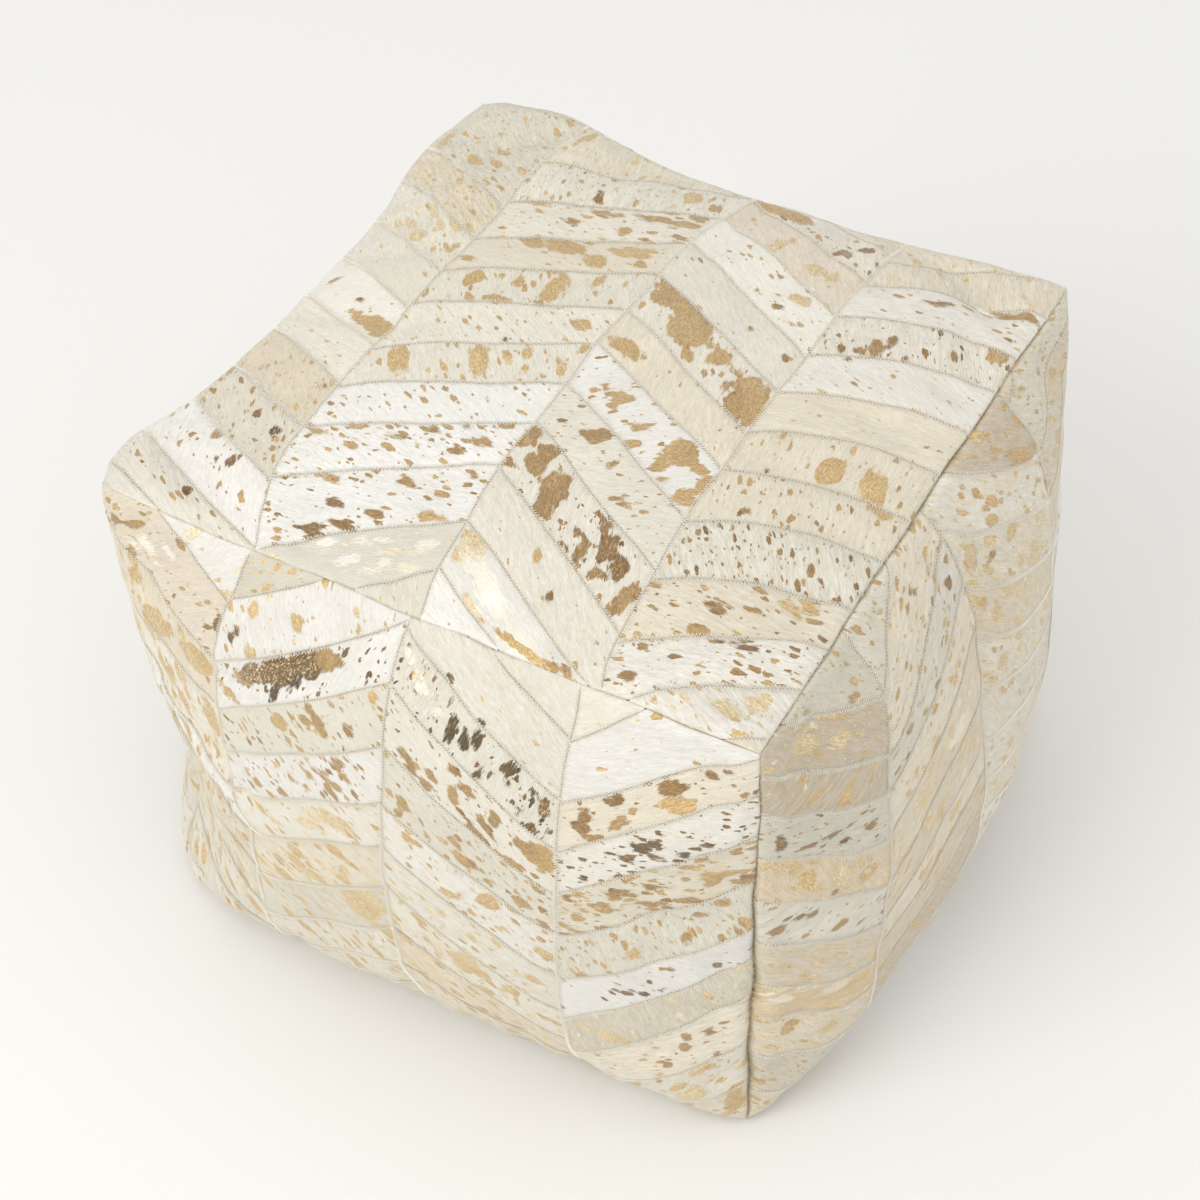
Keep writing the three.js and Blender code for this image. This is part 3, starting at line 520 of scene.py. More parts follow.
BLOTS["front"] = [
    # the first four, of tone -0.10, are painted glints: white-hot highlights by the top-left corner
    (75, 75, 9, 5, 35, -10), (110, 70, 6, 4, 35, -10), (50, 90, 6, 4, 20, -10), (90, 105, 5, 3, 30, -10),
    (515, 50, 7, 3, 40, 0), (535, 85, 8, 4, 40, 0), (560, 115, 7, 3, 30, 0), (25, 60, 4, 8, 30, 60),
    (60, 45, 8, 4, -30, 60), (135, 40, 4, 5, 30, 60), (45, 105, 6, 5, -30, 60), (95, 215, 12, 12, 40, 35),
    (170, 235, 14, 10, 10, 30), (50, 155, 7, 6, 20, 35), (110, 320, 6, 9, 10, 30),
    (190, 345, 6, 14, -10, 30), (264, 214, 12, 6, -36, 55), (282, 196, 15, 8, -36, 86),
    (318, 168, 17, 12, -38, 87), (355, 132, 14, 11, -38, 88), (385, 108, 8, 8, -38, 60),
    (240, 145, 3, 7, 20, 90), (212, 140, 3, 9, 0, 75), (312, 215, 3, 10, 10, 100),
    (335, 190, 2.5, 6, 15, 100), (350, 165, 2.5, 6, 15, 100), (405, 100, 3, 4, 0, 70),
    (335, 75, 5, 6, 0, 30), (270, 85, 4, 6, 0, 30), (465, 135, 5, 5, 0, 45), (320, 265, 7, 6, 0, 45),
    (385, 225, 10, 5, 42, 60), (370, 210, 6, 4, 40, 60), (435, 218, 8, 3, 20, 65), (365, 235, 5, 4, 20, 60),
    (420, 283, 5, 4, 30, 60), (385, 325, 10, 3, 20, 50), (415, 335, 6, 3, 20, 50), (360, 340, 6, 3, 20, 50),
    (430, 310, 4, 3, 20, 50), (230, 270, 8, 4, 40, 40), (275, 425, 3, 4, 0, 60), (320, 418, 6, 4, 20, 60),
    (400, 425, 20, 6, -12, 20), (360, 465, 10, 5, -8, 20), (447, 600, 17, 17, 0, 24),
    (420, 545, 5, 7, 0, 25), (350, 605, 8, 5, 0, 20), (295, 605, 5, 5, 0, 30), (300, 650, 7, 5, 0, 25),
    (585, 135, 4.5, 13, 12, 100), (605, 145, 4, 7, 0, 100), (623, 135, 3, 6, 10, 100),
    (625, 105, 2.5, 3, 0, 100), (677, 165, 4, 8, 30, 100), (635, 195, 3.5, 6, 20, 100),
    (710, 190, 2.5, 5, -10, 95), (727, 218, 5, 8, -10, 90), (695, 230, 3, 6, 10, 95),
    (678, 195, 2.5, 3, 0, 95), (573, 95, 2.5, 4, 0, 90), (565, 60, 2.5, 3, 0, 90), (715, 262, 3, 4, 0, 90),
    (735, 262, 3, 3.5, 0, 90), (700, 262, 2, 3, 0, 90), (525, 225, 9, 4, 50, 65), (555, 250, 8, 4, 40, 65),
    (595, 205, 8, 3, 40, 65), (620, 235, 6, 3, 40, 60), (600, 250, 4, 8, -10, 60),
    (635, 310, 13, 4, 40, 65), (660, 270, 4, 7, 0, 60), (650, 295, 9, 3, 40, 65), (725, 310, 9, 10, 20, 50),
    (705, 298, 8, 5, 20, 55), (735, 330, 6, 6, 0, 50), (685, 345, 10, 4, 15, 50), (615, 385, 10, 4, 25, 55),
    (520, 315, 6, 4, 40, 60), (512, 335, 4, 4, 0, 60), (600, 350, 6, 3, 40, 55), (655, 460, 8, 7, 0, 30),
    (590, 475, 9, 4, 0, 25), (690, 455, 6, 4, 20, 50), (735, 475, 7, 3, 20, 55), (650, 412, 4, 2.5, 0, 50),
    (610, 640, 12, 9, 0, 25), (610, 665, 9, 6, 0, 30), (567, 650, 3, 8, 0, 30), (630, 720, 10, 6, -20, 30),
    (550, 630, 3, 5, 0, 35), (782, 205, 4, 8, 0, 70), (780, 232, 8, 5, 0, 70), (800, 245, 7, 4, -10, 65),
    (818, 160, 6, 5, -30, 75), (830, 200, 4, 9, 15, 60), (890, 115, 8, 5, -20, 70),
    (900, 145, 10, 6, -8, 40), (935, 75, 6, 3, -20, 70), (955, 55, 5, 2.5, -20, 70),
    (862, 235, 5, 5, 0, 95), (877, 222, 4, 4, 0, 95), (850, 232, 3, 5, 0, 95), (913, 235, 3.5, 2.5, 0, 95),
    (878, 248, 5, 2.5, 0, 85), (840, 268, 5, 3, 0, 85), (940, 205, 4, 2.5, 0, 85), (785, 335, 4, 2, 0, 85),
    (820, 335, 4, 2, 0, 85), (840, 345, 12, 4, -12, 60), (885, 315, 9, 3, -12, 60), (815, 385, 8, 4, 0, 60),
    (765, 388, 5, 2, 0, 60), (925, 335, 10, 3.5, -8, 55), (870, 360, 10, 3, -12, 55),
    (950, 285, 5, 7, 0, 50), (970, 275, 9, 3, -10, 50), (940, 375, 5, 5, 0, 50), (965, 345, 5, 4, 0, 50),
    (780, 425, 5, 4, 0, 50), (785, 453, 7, 2.5, 0, 50), (860, 480, 4, 7, 10, 30), (925, 430, 4, 6, 10, 50),
    (985, 420, 3, 8, 0, 55), (903, 515, 4, 2.5, 0, 60), (790, 572, 6, 4, -10, 45),
    (853, 583, 4, 3.5, 20, 90), (873, 583, 3, 3, 0, 90), (900, 565, 2.5, 3.5, 0, 90),
    (963, 505, 3, 4, 0, 90), (882, 548, 1.8, 2, 0, 90), (825, 730, 12, 6, 0, 15), (790, 725, 7, 4, 0, 20),
    (928, 695, 3, 4, 0, 60), (958, 685, 3, 5, 0, 60), (925, 730, 4, 5, 0, 60), (968, 755, 3, 3, 0, 70),
    (900, 785, 3, 4, 0, 60), (962, 790, 5, 4, 0, 30), (930, 875, 13, 7, -50, 15), (850, 885, 4, 7, 0, 40),
    (985, 910, 6, 18, 0, 30), (885, 842, 3, 2.5, 0, 60),
]
BLOTS["right"] = [
    (100, 80, 12, 6, 30, 15), (150, 120, 8, 5, 30, 15), (200, 80, 5, 3, 0, 50), (90, 175, 9, 5, -10, 30),
    (140, 220, 14, 4, -30, 25), (170, 190, 9, 3, -25, 30), (25, 225, 3, 8, 0, 85), (60, 265, 6, 2, 20, 75),
    (95, 275, 7, 3, 20, 75), (115, 312, 4, 2, 0, 80), (170, 320, 5, 3, 0, 70), (60, 345, 6, 7, 0, 25),
    (115, 380, 6, 13, 0, 20), (155, 420, 7, 7, 0, 30), (20, 440, 6, 4, -20, 70), (50, 430, 4, 3, 0, 80),
    (70, 445, 5, 3, -20, 70), (105, 500, 5, 3, 0, 65), (100, 410, 3, 3, 0, 70), (20, 625, 8, 5, 0, 10),
    (100, 660, 14, 7, 15, 10), (45, 615, 6, 4, 0, 10), (90, 770, 8, 5, 0, 25), (35, 720, 5, 8, 30, 40),
    (390, 335, 14, 9, -10, 10), (360, 335, 6, 5, 0, 10), (285, 455, 7, 9, 0, 15), (460, 100, 4, 4, 0, 70),
    (412, 95, 3, 3, 0, 75), (435, 125, 3, 4, 0, 70), (385, 55, 3, 4, 0, 60), (360, 205, 4, 3, 0, 70),
    (275, 220, 3, 3, 0, 70), (315, 225, 4, 3, 0, 50), (335, 240, 5, 2.5, 0, 50), (525, 110, 11, 9, 0, 25),
    (535, 235, 8, 5, 0, 30), (510, 190, 5, 4, 0, 35), (630, 165, 10, 4, 10, 30), (740, 165, 5, 4, 0, 45),
    (595, 55, 4, 3, 0, 50), (570, 150, 5, 2.5, 0, 60), (730, 100, 22, 7, 34, 45), (760, 120, 9, 6, 30, 45),
]
for face, blots in BLOTS.items():
    BLOTS[face] = [(a / 1000, b / 1000, *shape, tone / 100) for a, b, *shape, tone in blots]

# How far the seams of each column bow, as a share of the panel
SEAM_BOW = {
    "top": (0, 0, 0, -0.010), "front": (0.006, 0, 0.004, -0.006), "right": (0.01, -0.01, 0.01, 0),
    "back": (0, 0, 0, 0), "left": (0, 0, 0, 0),
}
ABOVE, BELOW = (-0.6, -0.6), (1.6, 1.6)  # stand for the seams before the first strip and after the last
EDGE_ROWS = np.array([0.0, 0.35, 0.8, 1.5, 2.6, 4.2])  # mesh rows by a cut edge, mm from it
PITCH = 2.6  # mesh pitch inside a strip, mm
SLANT = 0.82  # the strips lie aslant in their column: distance to a seam over distance along the column
TUCK = 2.4  # how far the cut edges go down into the seams, mm
LIFT = 0.35  # the most that one strip stands over its neighbours, mm
FIELD = 8.0  # how far the field of a blotch reaches, mm
HASH_SPAN = 997  # mm over which the coats of the strips are shifted apart


def hash01(*keys):
    value = 0.0
    for n, k in enumerate(keys):
        value += math.sin((k + 1) * (12.9898 + 7.233 * n)) * 43758.5453
    return value % 1.0


def across_at(face, column, b):
    """Where the column's left and right lines are at b."""
    marks = LINES[face]
    b = np.clip(b, 0, 1)
    left = 0 * b if column == 0 else np.interp(b, *zip(*marks[column - 1]))
    right = 0 * b + 1 if column == 3 else np.interp(b, *zip(*marks[column]))
    return left, right


def seam_at(face, column, seam, p):
    left, right = seam
    return left + (right - left) * p + SEAM_BOW[face][column] * middle(p)


def recipe(face, column, row):
    """What a strip is made of: the listed values, or drawn ones."""
    if face in HIDES and row < len(HIDES[face][column]):
        return HIDES[face][column][row]
    k = FACES.index(face) * 100 + column * 17 + row
    tone = UNSEEN[int(hash01(k, 3) * len(UNSEEN))]
    ranges = ((0.3, 0.5), (0.3, 0.4), (0, 0.25), (0.9, 0.3), (0.25, 0.6), (-60, 150))
    return (tone, *(low + span * hash01(k, 5 + 2 * n) for n, (low, span) in enumerate(ranges)))


def ladder(length, steps):
    """Rows across a strip: close together by both edges, evenly spaced between."""
    k = len(EDGE_ROWS)
    near = np.minimum(EDGE_ROWS[None, :], length[:, None] * np.arange(k)[None, :] / (2 * k + steps))
    inner = near[:, -1:] + (length[:, None] - 2 * near[:, -1:]) * np.arange(1, steps)[None, :] / steps
    return np.concatenate([near, inner, length[:, None] - near[:, ::-1]], 1)


def blots_on(face, column, upper, lower):
    """The blotches centred on one strip: each hide was cut before it was sewn, so they end at its seams."""
    found = []
    for blot in BLOTS[face]:
        at_a, at_b = np.array(blot[0]), np.array(blot[1])
        la, ra = across_at(face, column, at_b)
        p = (at_a - la) / (ra - la)
        if 0 <= p < 1 and seam_at(face, column, upper, p) <= at_b < seam_at(face, column, lower, p):
            found.append(blot)
    return found


def blot_field(face, a, b, blots):
    """How far inside the nearest listed blotch, in mm, and that blotch's tone."""
    field, tone = np.full(a.shape, -FIELD), np.zeros(a.shape)
    for ca, cb, wide, tall, angle, shade in blots:
        x, y = turned((a - ca) * PANEL_WIDE, (b - cb) * PANEL_TALL[face], angle)
        inside = np.clip((1 - np.hypot(x / wide, y / tall)) * min(wide, tall), -FIELD, FIELD)
        tone = np.where((inside > 0) | (inside > field), shade, tone)
        field = np.maximum(field, inside)
    return field, tone


def strip_grid(face, column, upper, lower):
    """A strip as a ruled grid of panel places (a, b), with the distance of each to the cut edge, in mm."""
    tall = PANEL_TALL[face]

    def ends(p):
        return [np.clip(seam_at(face, column, seam, p), 0, 1) for seam in (upper, lower)]

    p = np.linspace(0, 1, 401)
    high, low = ends(p)
    open_at = np.where(low - high > 0.001)[0]
    if len(open_at) < 4:
        return None
    pa, pb = p[open_at[0]], p[open_at[-1]]
    left, right = across_at(face, column, np.array((high + low)[open_at].mean() / 2))
    wide = float((right - left) * PANEL_WIDE * (pb - pa))
    p = pa + (pb - pa) * ladder(np.array([wide]), max(3, int(wide / PITCH)))[0] / wide
    high, low = ends(p)
    length = np.maximum((low - high) * tall, 0.02)
    rows = ladder(length, max(3, int(length.max() / PITCH)))
    b = high[:, None] + rows / tall
    la, ra = across_at(face, column, b)
    a = la + (ra - la) * p[:, None]
    from_side = np.minimum(p - pa, pb - p)[:, None] / (pb - pa) * wide
    from_end = np.minimum(rows, length[:, None] - rows) * SLANT
    return a, b, np.minimum(from_side, from_end)


def build_strip(face, column, row, upper, lower):
    """One strip of hide: its points, quads and what the material reads."""
    grid = strip_grid(face, column, upper, lower)
    if grid is None:
        return None
    tall = PANEL_TALL[face]
    # a ring round the outside turns the cut edge down into the seam
    ring = np.pad(np.zeros(grid[0].shape), 1, constant_values=1.0)
    a, b, edge = (np.pad(x, 1, mode="edge") for x in grid)
    point, normal = cover_point(face, a, b)
    k = FACES.index(face) * 100 + column * 20 + row
    lift = LIFT * hash01(k, 1) * np.clip(edge / 2.0, 0, 1)
    roll, rim, tight = rolled(a, b, tall, point[..., 0])
    open_rim = np.exp(-((rim / 1.5) ** 2)) * (1 - tight)
    groove = 0.5 * np.exp(-((edge / 0.38) ** 2)) + 0.2 * np.exp(-((edge / 2.6) ** 2))
    depth = (groove * (1 - 0.8 * open_rim) + TUCK * ring - lift)[..., None]
    near_rim = np.exp(-((rim / 4.0) ** 2))[..., None]
    inward = unit(HEART - point) * (depth * near_rim + roll[..., None])
    point = point - normal * depth * (1 - near_rim) + inward
    tone, fur, small, large, size, foil, angle = recipe(face, column, row)
    x, y = turned(a * PANEL_WIDE, b * tall, angle)
    hair = np.stack([x + HASH_SPAN * hash01(k, 21), y + HASH_SPAN * hash01(k, 22), 0 * a + k * 3.7], -1)
    field, shade = blot_field(face, a, b, blots_on(face, column, upper, lower))
    m, n = a.shape
    at = np.arange(m * n).reshape(m, n)
    quads = np.stack([at[:-1, :-1], at[:-1, 1:], at[1:, 1:], at[1:, :-1]], -1).reshape(-1, 4)
    colour = np.array(TONES[tone]) * (0.94 + 0.1 * hash01(k, 31))

    def flat(*parts):
        return np.stack([np.broadcast_to(part, a.shape) for part in parts], -1).reshape(-1, len(parts))

    return {
        "point": point.reshape(-1, 3), "quads": quads, "hair": hair.reshape(-1, 3),
        "tone": flat(*colour), "foil": flat(small, large, size),
        "blot": flat(field, shade, foil),
        # edge and rim also set the painted shade in the seams and along the panel edges: by a loose panel edge
        # both are raised, which weakens that painted shade
        "strip": flat(edge + 0.4 * open_rim, fur, rim + 0.35 * (1 - tight)),
    }


def new_mesh(name, points, quads, vectors=()):
    mesh = bpy.data.meshes.new(name)
    mesh.vertices.add(len(points))
    mesh.vertices.foreach_set("co", (points / 1000).astype(np.float32).ravel())
    sides = quads.shape[1]
    mesh.loops.add(quads.size)
    mesh.loops.foreach_set("vertex_index", quads.astype(np.int32).ravel())
    mesh.polygons.add(len(quads))
    mesh.polygons.foreach_set("loop_start", np.arange(0, quads.size, sides, dtype=np.int32))
    mesh.polygons.foreach_set("use_smooth", np.ones(len(quads), bool))
    for key, values in vectors:
        layer = mesh.attributes.new(key, "FLOAT_VECTOR", "POINT")
        layer.data.foreach_set("vector", values.astype(np.float32).ravel())
    mesh.update(calc_edges=True)
    mesh.validate()
    return link(name, mesh)


# ---------------------------------------------------------------- materials
class Shader:
    """A material and short ways to add its nodes."""

    def __init__(self, name):
        self.mat = bpy.data.materials.new(name)
        self.mat.use_nodes = True
        self.tree = self.mat.node_tree
        self.bsdf = self.tree.nodes["Principled BSDF"]

    def put(self, socket, value):
        if isinstance(value, bpy.types.NodeSocket):
            self.tree.links.new(value, socket)
        elif value is not None:
            socket.default_value = value

    def node(self, kind, out=0, inputs=None, **props):
        node = self.tree.nodes.new("ShaderNode" + kind)
        for key, value in props.items():
            setattr(node, key, value)
        for key, value in (inputs or {}).items():
            self.put(node.inputs[key], value)
        return node.outputs[out]

    def read(self, name):
        return self.node("Attribute", "Vector", attribute_name=name)

    def parts(self, vector):
        node = self.tree.nodes.new("ShaderNodeSeparateXYZ")
        self.put(node.inputs[0], vector)
        return node.outputs

    def math(self, op, a, b=0.0, c=0.0):
        return self.node("Math", operation=op, inputs={0: a, 1: b, 2: c})

    def plus(self, a, b):
        return self.math("ADD", a, b)

    def minus(self, a, b):
        return self.math("SUBTRACT", a, b)

    def times(self, a, b):
        return self.math("MULTIPLY", a, b)

    def line(self, value, slope, start):
        return self.math("MULTIPLY_ADD", value, slope, start)

    def grey(self, value):
        return self.node("CombineColor", inputs={0: value, 1: value, 2: value})

    def scaled(self, vector, scale):
        return self.node("VectorMath", operation="MULTIPLY", inputs={0: vector, 1: scale})

    def ramp(self, value, low, high, to_low=0.0, to_high=1.0):
        return self.node("MapRange", inputs={0: value, 1: low, 2: high, 3: to_low, 4: to_high})

    def noise(self, vector, scale=1.0, detail=2.0, rough=0.5):
        inputs = {"Vector": vector, "Scale": scale, "Detail": detail, "Roughness": rough}
        return self.node("TexNoise", "Fac", inputs)

    def mix(self, factor, a, b, blend="MIX"):
        node = self.tree.nodes.new("ShaderNodeMix")
        node.data_type, node.blend_type = "RGBA", blend
        for key, value in ((0, factor), (6, a), (7, b)):
            self.put(node.inputs[key], value)
        return node.outputs[2]

    def bump(self, height, distance, strength):
        normal = self.node("Bump", inputs={"Height": height, "Distance": distance, "Strength": strength})
        self.put(self.bsdf.inputs["Normal"], normal)

    def finish(self, **sockets):
        for key, value in sockets.items():
            self.put(self.bsdf.inputs[key.replace("_", " ")], value)
        return self.mat


# Foil from pale to dark bronze: place on the scale, linear colour
FOIL_TONES = (
    (0.0, (0.88, 0.84, 0.74)), (0.12, (0.79, 0.65, 0.41)), (0.3, (0.67, 0.48, 0.23)),
    (0.5, (0.55, 0.37, 0.17)), (0.75, (0.30, 0.175, 0.07)), (1.0, (0.12, 0.085, 0.04)),
)


def coat_noise(m, along, across, detail, rough=0.5):
    """Noise drawn out along the hair; the scales are in cycles per mm."""
    return m.noise(m.scaled(m.hair_at, (along, across, 1)), 1, detail, rough)


def hide_shader(name):
    """A shader with what the points of a strip carry, and the hairs, locks and clouds of its coat."""
    m = Shader(name)
    m.hair_at, m.tone = m.read("hair"), m.read("tone")
    m.small, m.large, m.size = m.parts(m.read("foil"))
    m.field, m.shade, m.foil = m.parts(m.read("blot"))
    m.edge, m.fur, m.rim = m.parts(m.read("strip"))
    m.hairs = m.ramp(coat_noise(m, 0.2, 1.7, 4, 0.7), 0.32, 0.68)
    m.locks = m.ramp(coat_noise(m, 0.08, 0.34, 2), 0.3, 0.7)
    m.cloud = coat_noise(m, 0.02, 0.035, 2)
    return m


def foil_spots(m, at, scale, share, low, span):
    """Spots of foil in this share of the cells, with their own tint."""
    cell, tint = (m.node("TexVoronoi", out, {"Vector": m.scaled(at, scale), "Scale": 1.0},
                         voronoi_dimensions="2D") for out in ("Distance", "Color"))
    tint = m.parts(tint)
    radius = m.times(m.size, m.line(m.math("POWER", tint[0], 2.0), span, low))
    level = m.plus(m.minus(radius, cell), m.line(m.hairs, 0.10, -0.05))
    return m.times(m.ramp(level, 0.0, 0.035), m.math("LESS_THAN", tint[1], share)), tint[2]


def foil_blotches(m):
    """Where the listed blotches are, frayed along the hair; the white ones are a painted glare and fade out
    softly.
    """
    # blotches of tone 0.02 and below fray most, which breaks up the painted glint strokes
    fray = m.ramp(m.shade, 0.02, 0.2, 6.0, 2.6)
    field = m.plus(m.field, m.times(m.minus(m.hairs, 0.5), fray))
    field = m.plus(field, m.line(m.locks, 2.0, -1.0))
    field = m.plus(field, m.ramp(coat_noise(m, 0.10, 0.15, 1), 0.3, 0.7, -1.8, 1.4))
    # below tone -0.15, the painted glare, the edge softens over up to 7 mm
    return m.ramp(field, -0.25, m.ramp(m.shade, -0.25, -0.15, 7.0, 0.6))


def foil_layer(m):
    """Where there is foil, and its place on the scale of foil tones."""
    wobble_at = m.scaled(m.hair_at, (0.12, 0.3, 1))
    wobble = m.node("TexNoise", "Color", {"Vector": wobble_at, "Scale": 1.0, "Detail": 2.0})
    wobble = m.node("VectorMath", operation="SUBTRACT", inputs={0: wobble, 1: (0.5, 0.5, 0.5)})
    at = m.node("VectorMath", operation="ADD", inputs={0: m.hair_at, 1: m.scaled(wobble, (9, 4.5, 0))})
    dots, dot_tint = foil_spots(m, at, (1 / 9.5, 1 / 5.0, 0), m.small, 0.12, 0.34)
    flecks, _ = foil_spots(m, at, (1 / 4.6, 1 / 2.5, 0), m.times(m.small, 0.3), 0.14, 0.24)
    patches, _ = foil_spots(m, at, (1 / 22, 1 / 10, 0), m.large, 0.2, 0.32)
    mask = m.math("MAXIMUM", m.math("MAXIMUM", dots, flecks), m.math("MAXIMUM", patches, foil_blotches(m)))
    near = m.ramp(m.field, -1.5, -0.5)
    tint = m.plus(m.times(m.shade, near), m.times(m.foil, m.minus(1.0, near)))
    tint = m.plus(tint, m.line(m.cloud, 0.4, -0.2))
    tint = m.plus(tint, m.times(m.minus(dot_tint, 0.5), m.times(dots, 0.3)))
    tint = m.plus(tint, m.line(m.hairs, -0.16, 0.08))
    # painted sparkle: lighter gold flecks standing in for glints, strongest in large blotches of bronze foil
    # near tone 0.87
    painted_glint_noise = m.ramp(coat_noise(m, 0.45, 0.8, 3, 0.75), 0.50, 0.62)
    off_bronze = m.math("ABSOLUTE", m.minus(m.shade, 0.87))
    painted_glint_strength = m.times(m.ramp(m.field, 0.8, 2.5), m.ramp(off_bronze, 0.03, 0.08, 0.78, 0.12))
    return mask, m.minus(tint, m.times(painted_glint_noise, painted_glint_strength))


def coat_colour(m):
    """Fine light and dark streaks, stronger on a furry strip, with painted shade in the seams and along the
    turned panel edges, yellower in a haze.
    """
    streak = m.times(m.minus(m.hairs, 0.5), m.line(m.fur, 0.20, 0.17))
    lock = m.times(m.minus(m.locks, 0.5), m.line(m.fur, 0.16, 0.03))
    level = m.plus(m.plus(streak, lock), m.line(m.cloud, 0.12, 0.94))
    # painted shade in the seam grooves: the colour darkens to 0.55 of itself at a cut edge, over its last 0.4
    # mm
    seam = m.ramp(m.edge, 0.02, 0.4, 0.55, 1.0)
    # painted shade along the turned edges of the panels, broken into stretches by the clouds, weaker where an
    # edge is loose
    painted_fold_shade = m.ramp(m.plus(m.rim, m.times(m.ramp(m.cloud, 0.4, 0.6), 1.6)), 0.3, 1.6, 0.7, 1.0)
    level = m.times(level, m.times(seam, painted_fold_shade))
    # the painted shade and the coat's streaks are tinted warm: blue falls faster than red
    red, blue = m.math("POWER", level, 0.9), m.math("POWER", level, 1.3)
    shade = m.node("CombineColor", inputs={0: red, 1: level, 2: blue})
    coat = m.mix(1.0, m.tone, shade, "MULTIPLY")
    haze = m.ramp(coat_noise(m, 0.05, 0.11, 3, 0.6), 0.5, 0.72)
    yellow = m.mix(1.0, coat, (1.0, 0.84, 0.56, 1), "MULTIPLY")
    return m.mix(m.times(haze, m.ramp(m.large, 0.05, 0.4, 0.0, 0.75)), coat, yellow)


def foil_colour(m, tint, grain):
    """The colour of the foil, mottled and with painted sparkle, with some hair showing through."""
    metal = m.tree.nodes.new("ShaderNodeValToRGB")
    ramp = metal.color_ramp
    while len(ramp.elements) < len(FOIL_TONES):
        ramp.elements.new(0.5)
    for element, (place, colour) in zip(ramp.elements, FOIL_TONES):
        element.position, element.color = place, (*colour, 1)
    m.put(metal.inputs[0], tint)
    # partly real mottling and partly painted sparkle: the grain lightens and darkens the foil colour, little
    # on pale foil, much on gold and bronze
    darkest, lightest = m.ramp(tint, -0.05, 0.2, 0.94, 0.62), m.ramp(tint, -0.05, 0.2, 1.06, 1.35)
    mottle_and_painted_sparkle = m.ramp(grain, 0.3, 0.7, darkest, lightest)
    leaf = m.mix(1.0, metal.outputs[0], m.grey(mottle_and_painted_sparkle), "MULTIPLY")
    return m.mix(m.times(m.minus(1.0, m.ramp(m.hairs, 0.0, 0.4)), 0.35), leaf, m.tone)


def hide_material(name):
    """Short hair over hide, splashed with foil."""
    m = hide_shader(name)
    mask, tint = foil_layer(m)
    grain = coat_noise(m, 0.5, 1.1, 3, 0.7)
    height = m.plus(m.times(m.hairs, 0.35), m.times(m.locks, m.line(m.fur, 0.8, 0.4)))
    m.bump(m.plus(height, m.times(mask, m.line(grain, 0.5, -0.2))), 0.0008, 0.85)
    return m.finish(
        Base_Color=m.mix(mask, coat_colour(m), foil_colour(m, tint, grain)),
        Metallic=m.times(mask, m.ramp(tint, 0.0, 0.3, 0.35, 0.6)),
        Roughness=m.ramp(mask, 0.0, 1.0, 0.62, 0.33), Sheen_Weight=0.25, Sheen_Roughness=0.45,
        Specular_IOR_Level=0.35,
    )


def woven_material(name, colour, count):
    """Plain weave from two crossed waves, in object space."""
    m = Shader(name)
    at = m.node("TexCoord", "Object")
    x, y, z = m.parts(at)
    warp = m.math("SINE", m.times(m.plus(x, z), count))
    weft = m.math("SINE", m.times(m.plus(y, z), count))
    weave = m.line(m.times(warp, weft), 0.5, 0.5)
    slub = m.noise(at, 140, 3, 0.6)
    tone = m.plus(m.line(weave, 0.16, 0.80), m.times(slub, 0.14))
    m.bump(m.plus(weave, slub), 0.0003, 0.7)
    colour = m.mix(1.0, (*colour, 1), m.grey(tone), "MULTIPLY")
    return m.finish(Base_Color=colour, Roughness=0.85, Sheen_Weight=0.1)


def solid_material(name, colour, rough, metallic=0.0):
    """Plastic or metal with faint handling marks."""
    m = Shader(name)
    marks = m.noise(m.node("TexCoord", "Object"), 300.0, 4, 0.65)
    m.bump(marks, 0.0001, 0.4)
    colour = m.mix(1.0, (*colour, 1), m.grey(m.line(marks, 0.3, 0.85)), "MULTIPLY")
    rough = m.ramp(marks, 0.3, 0.7, rough - 0.08, rough + 0.1)
    return m.finish(Base_Color=colour, Metallic=metallic, Roughness=rough)


def dress(obj, material):
    obj.data.materials.clear()
    obj.data.materials.append(material)


# ---------------------------------------------------------------- the cover, one piece for each column
SLOTS = {
    "top": ("grey", "ivory", "cream", "ivory"), "front": ("sand", "ivory", "cream", "grey"),
    "right": ("grey", "sand", "ivory", "cream"), "back": ("ivory", "grey", "sand", "cream"),
    "left": ("cream", "ivory", "grey", "sand"),
}
CARRIED = ("hair", "tone", "foil", "blot", "strip")
hide_materials = {n: hide_material(n + "_hide_and_foil") for n in ("grey", "ivory", "cream", "sand")}
threads = {face: [] for face in FACES}
hair_roots = {face: [] for face in FACES}
# where the stitches of a panel begin and end, as shares of it
FIRST_STITCH, LAST_STITCH = 0.004, {face: 0.996 if face == "top" else 0.982 for face in FACES}
# hairs rooted on one strip: by its upper edge, its lower edge, its left end, its right end and all over it
HAIRS = (220, 220, 40, 40, 100)


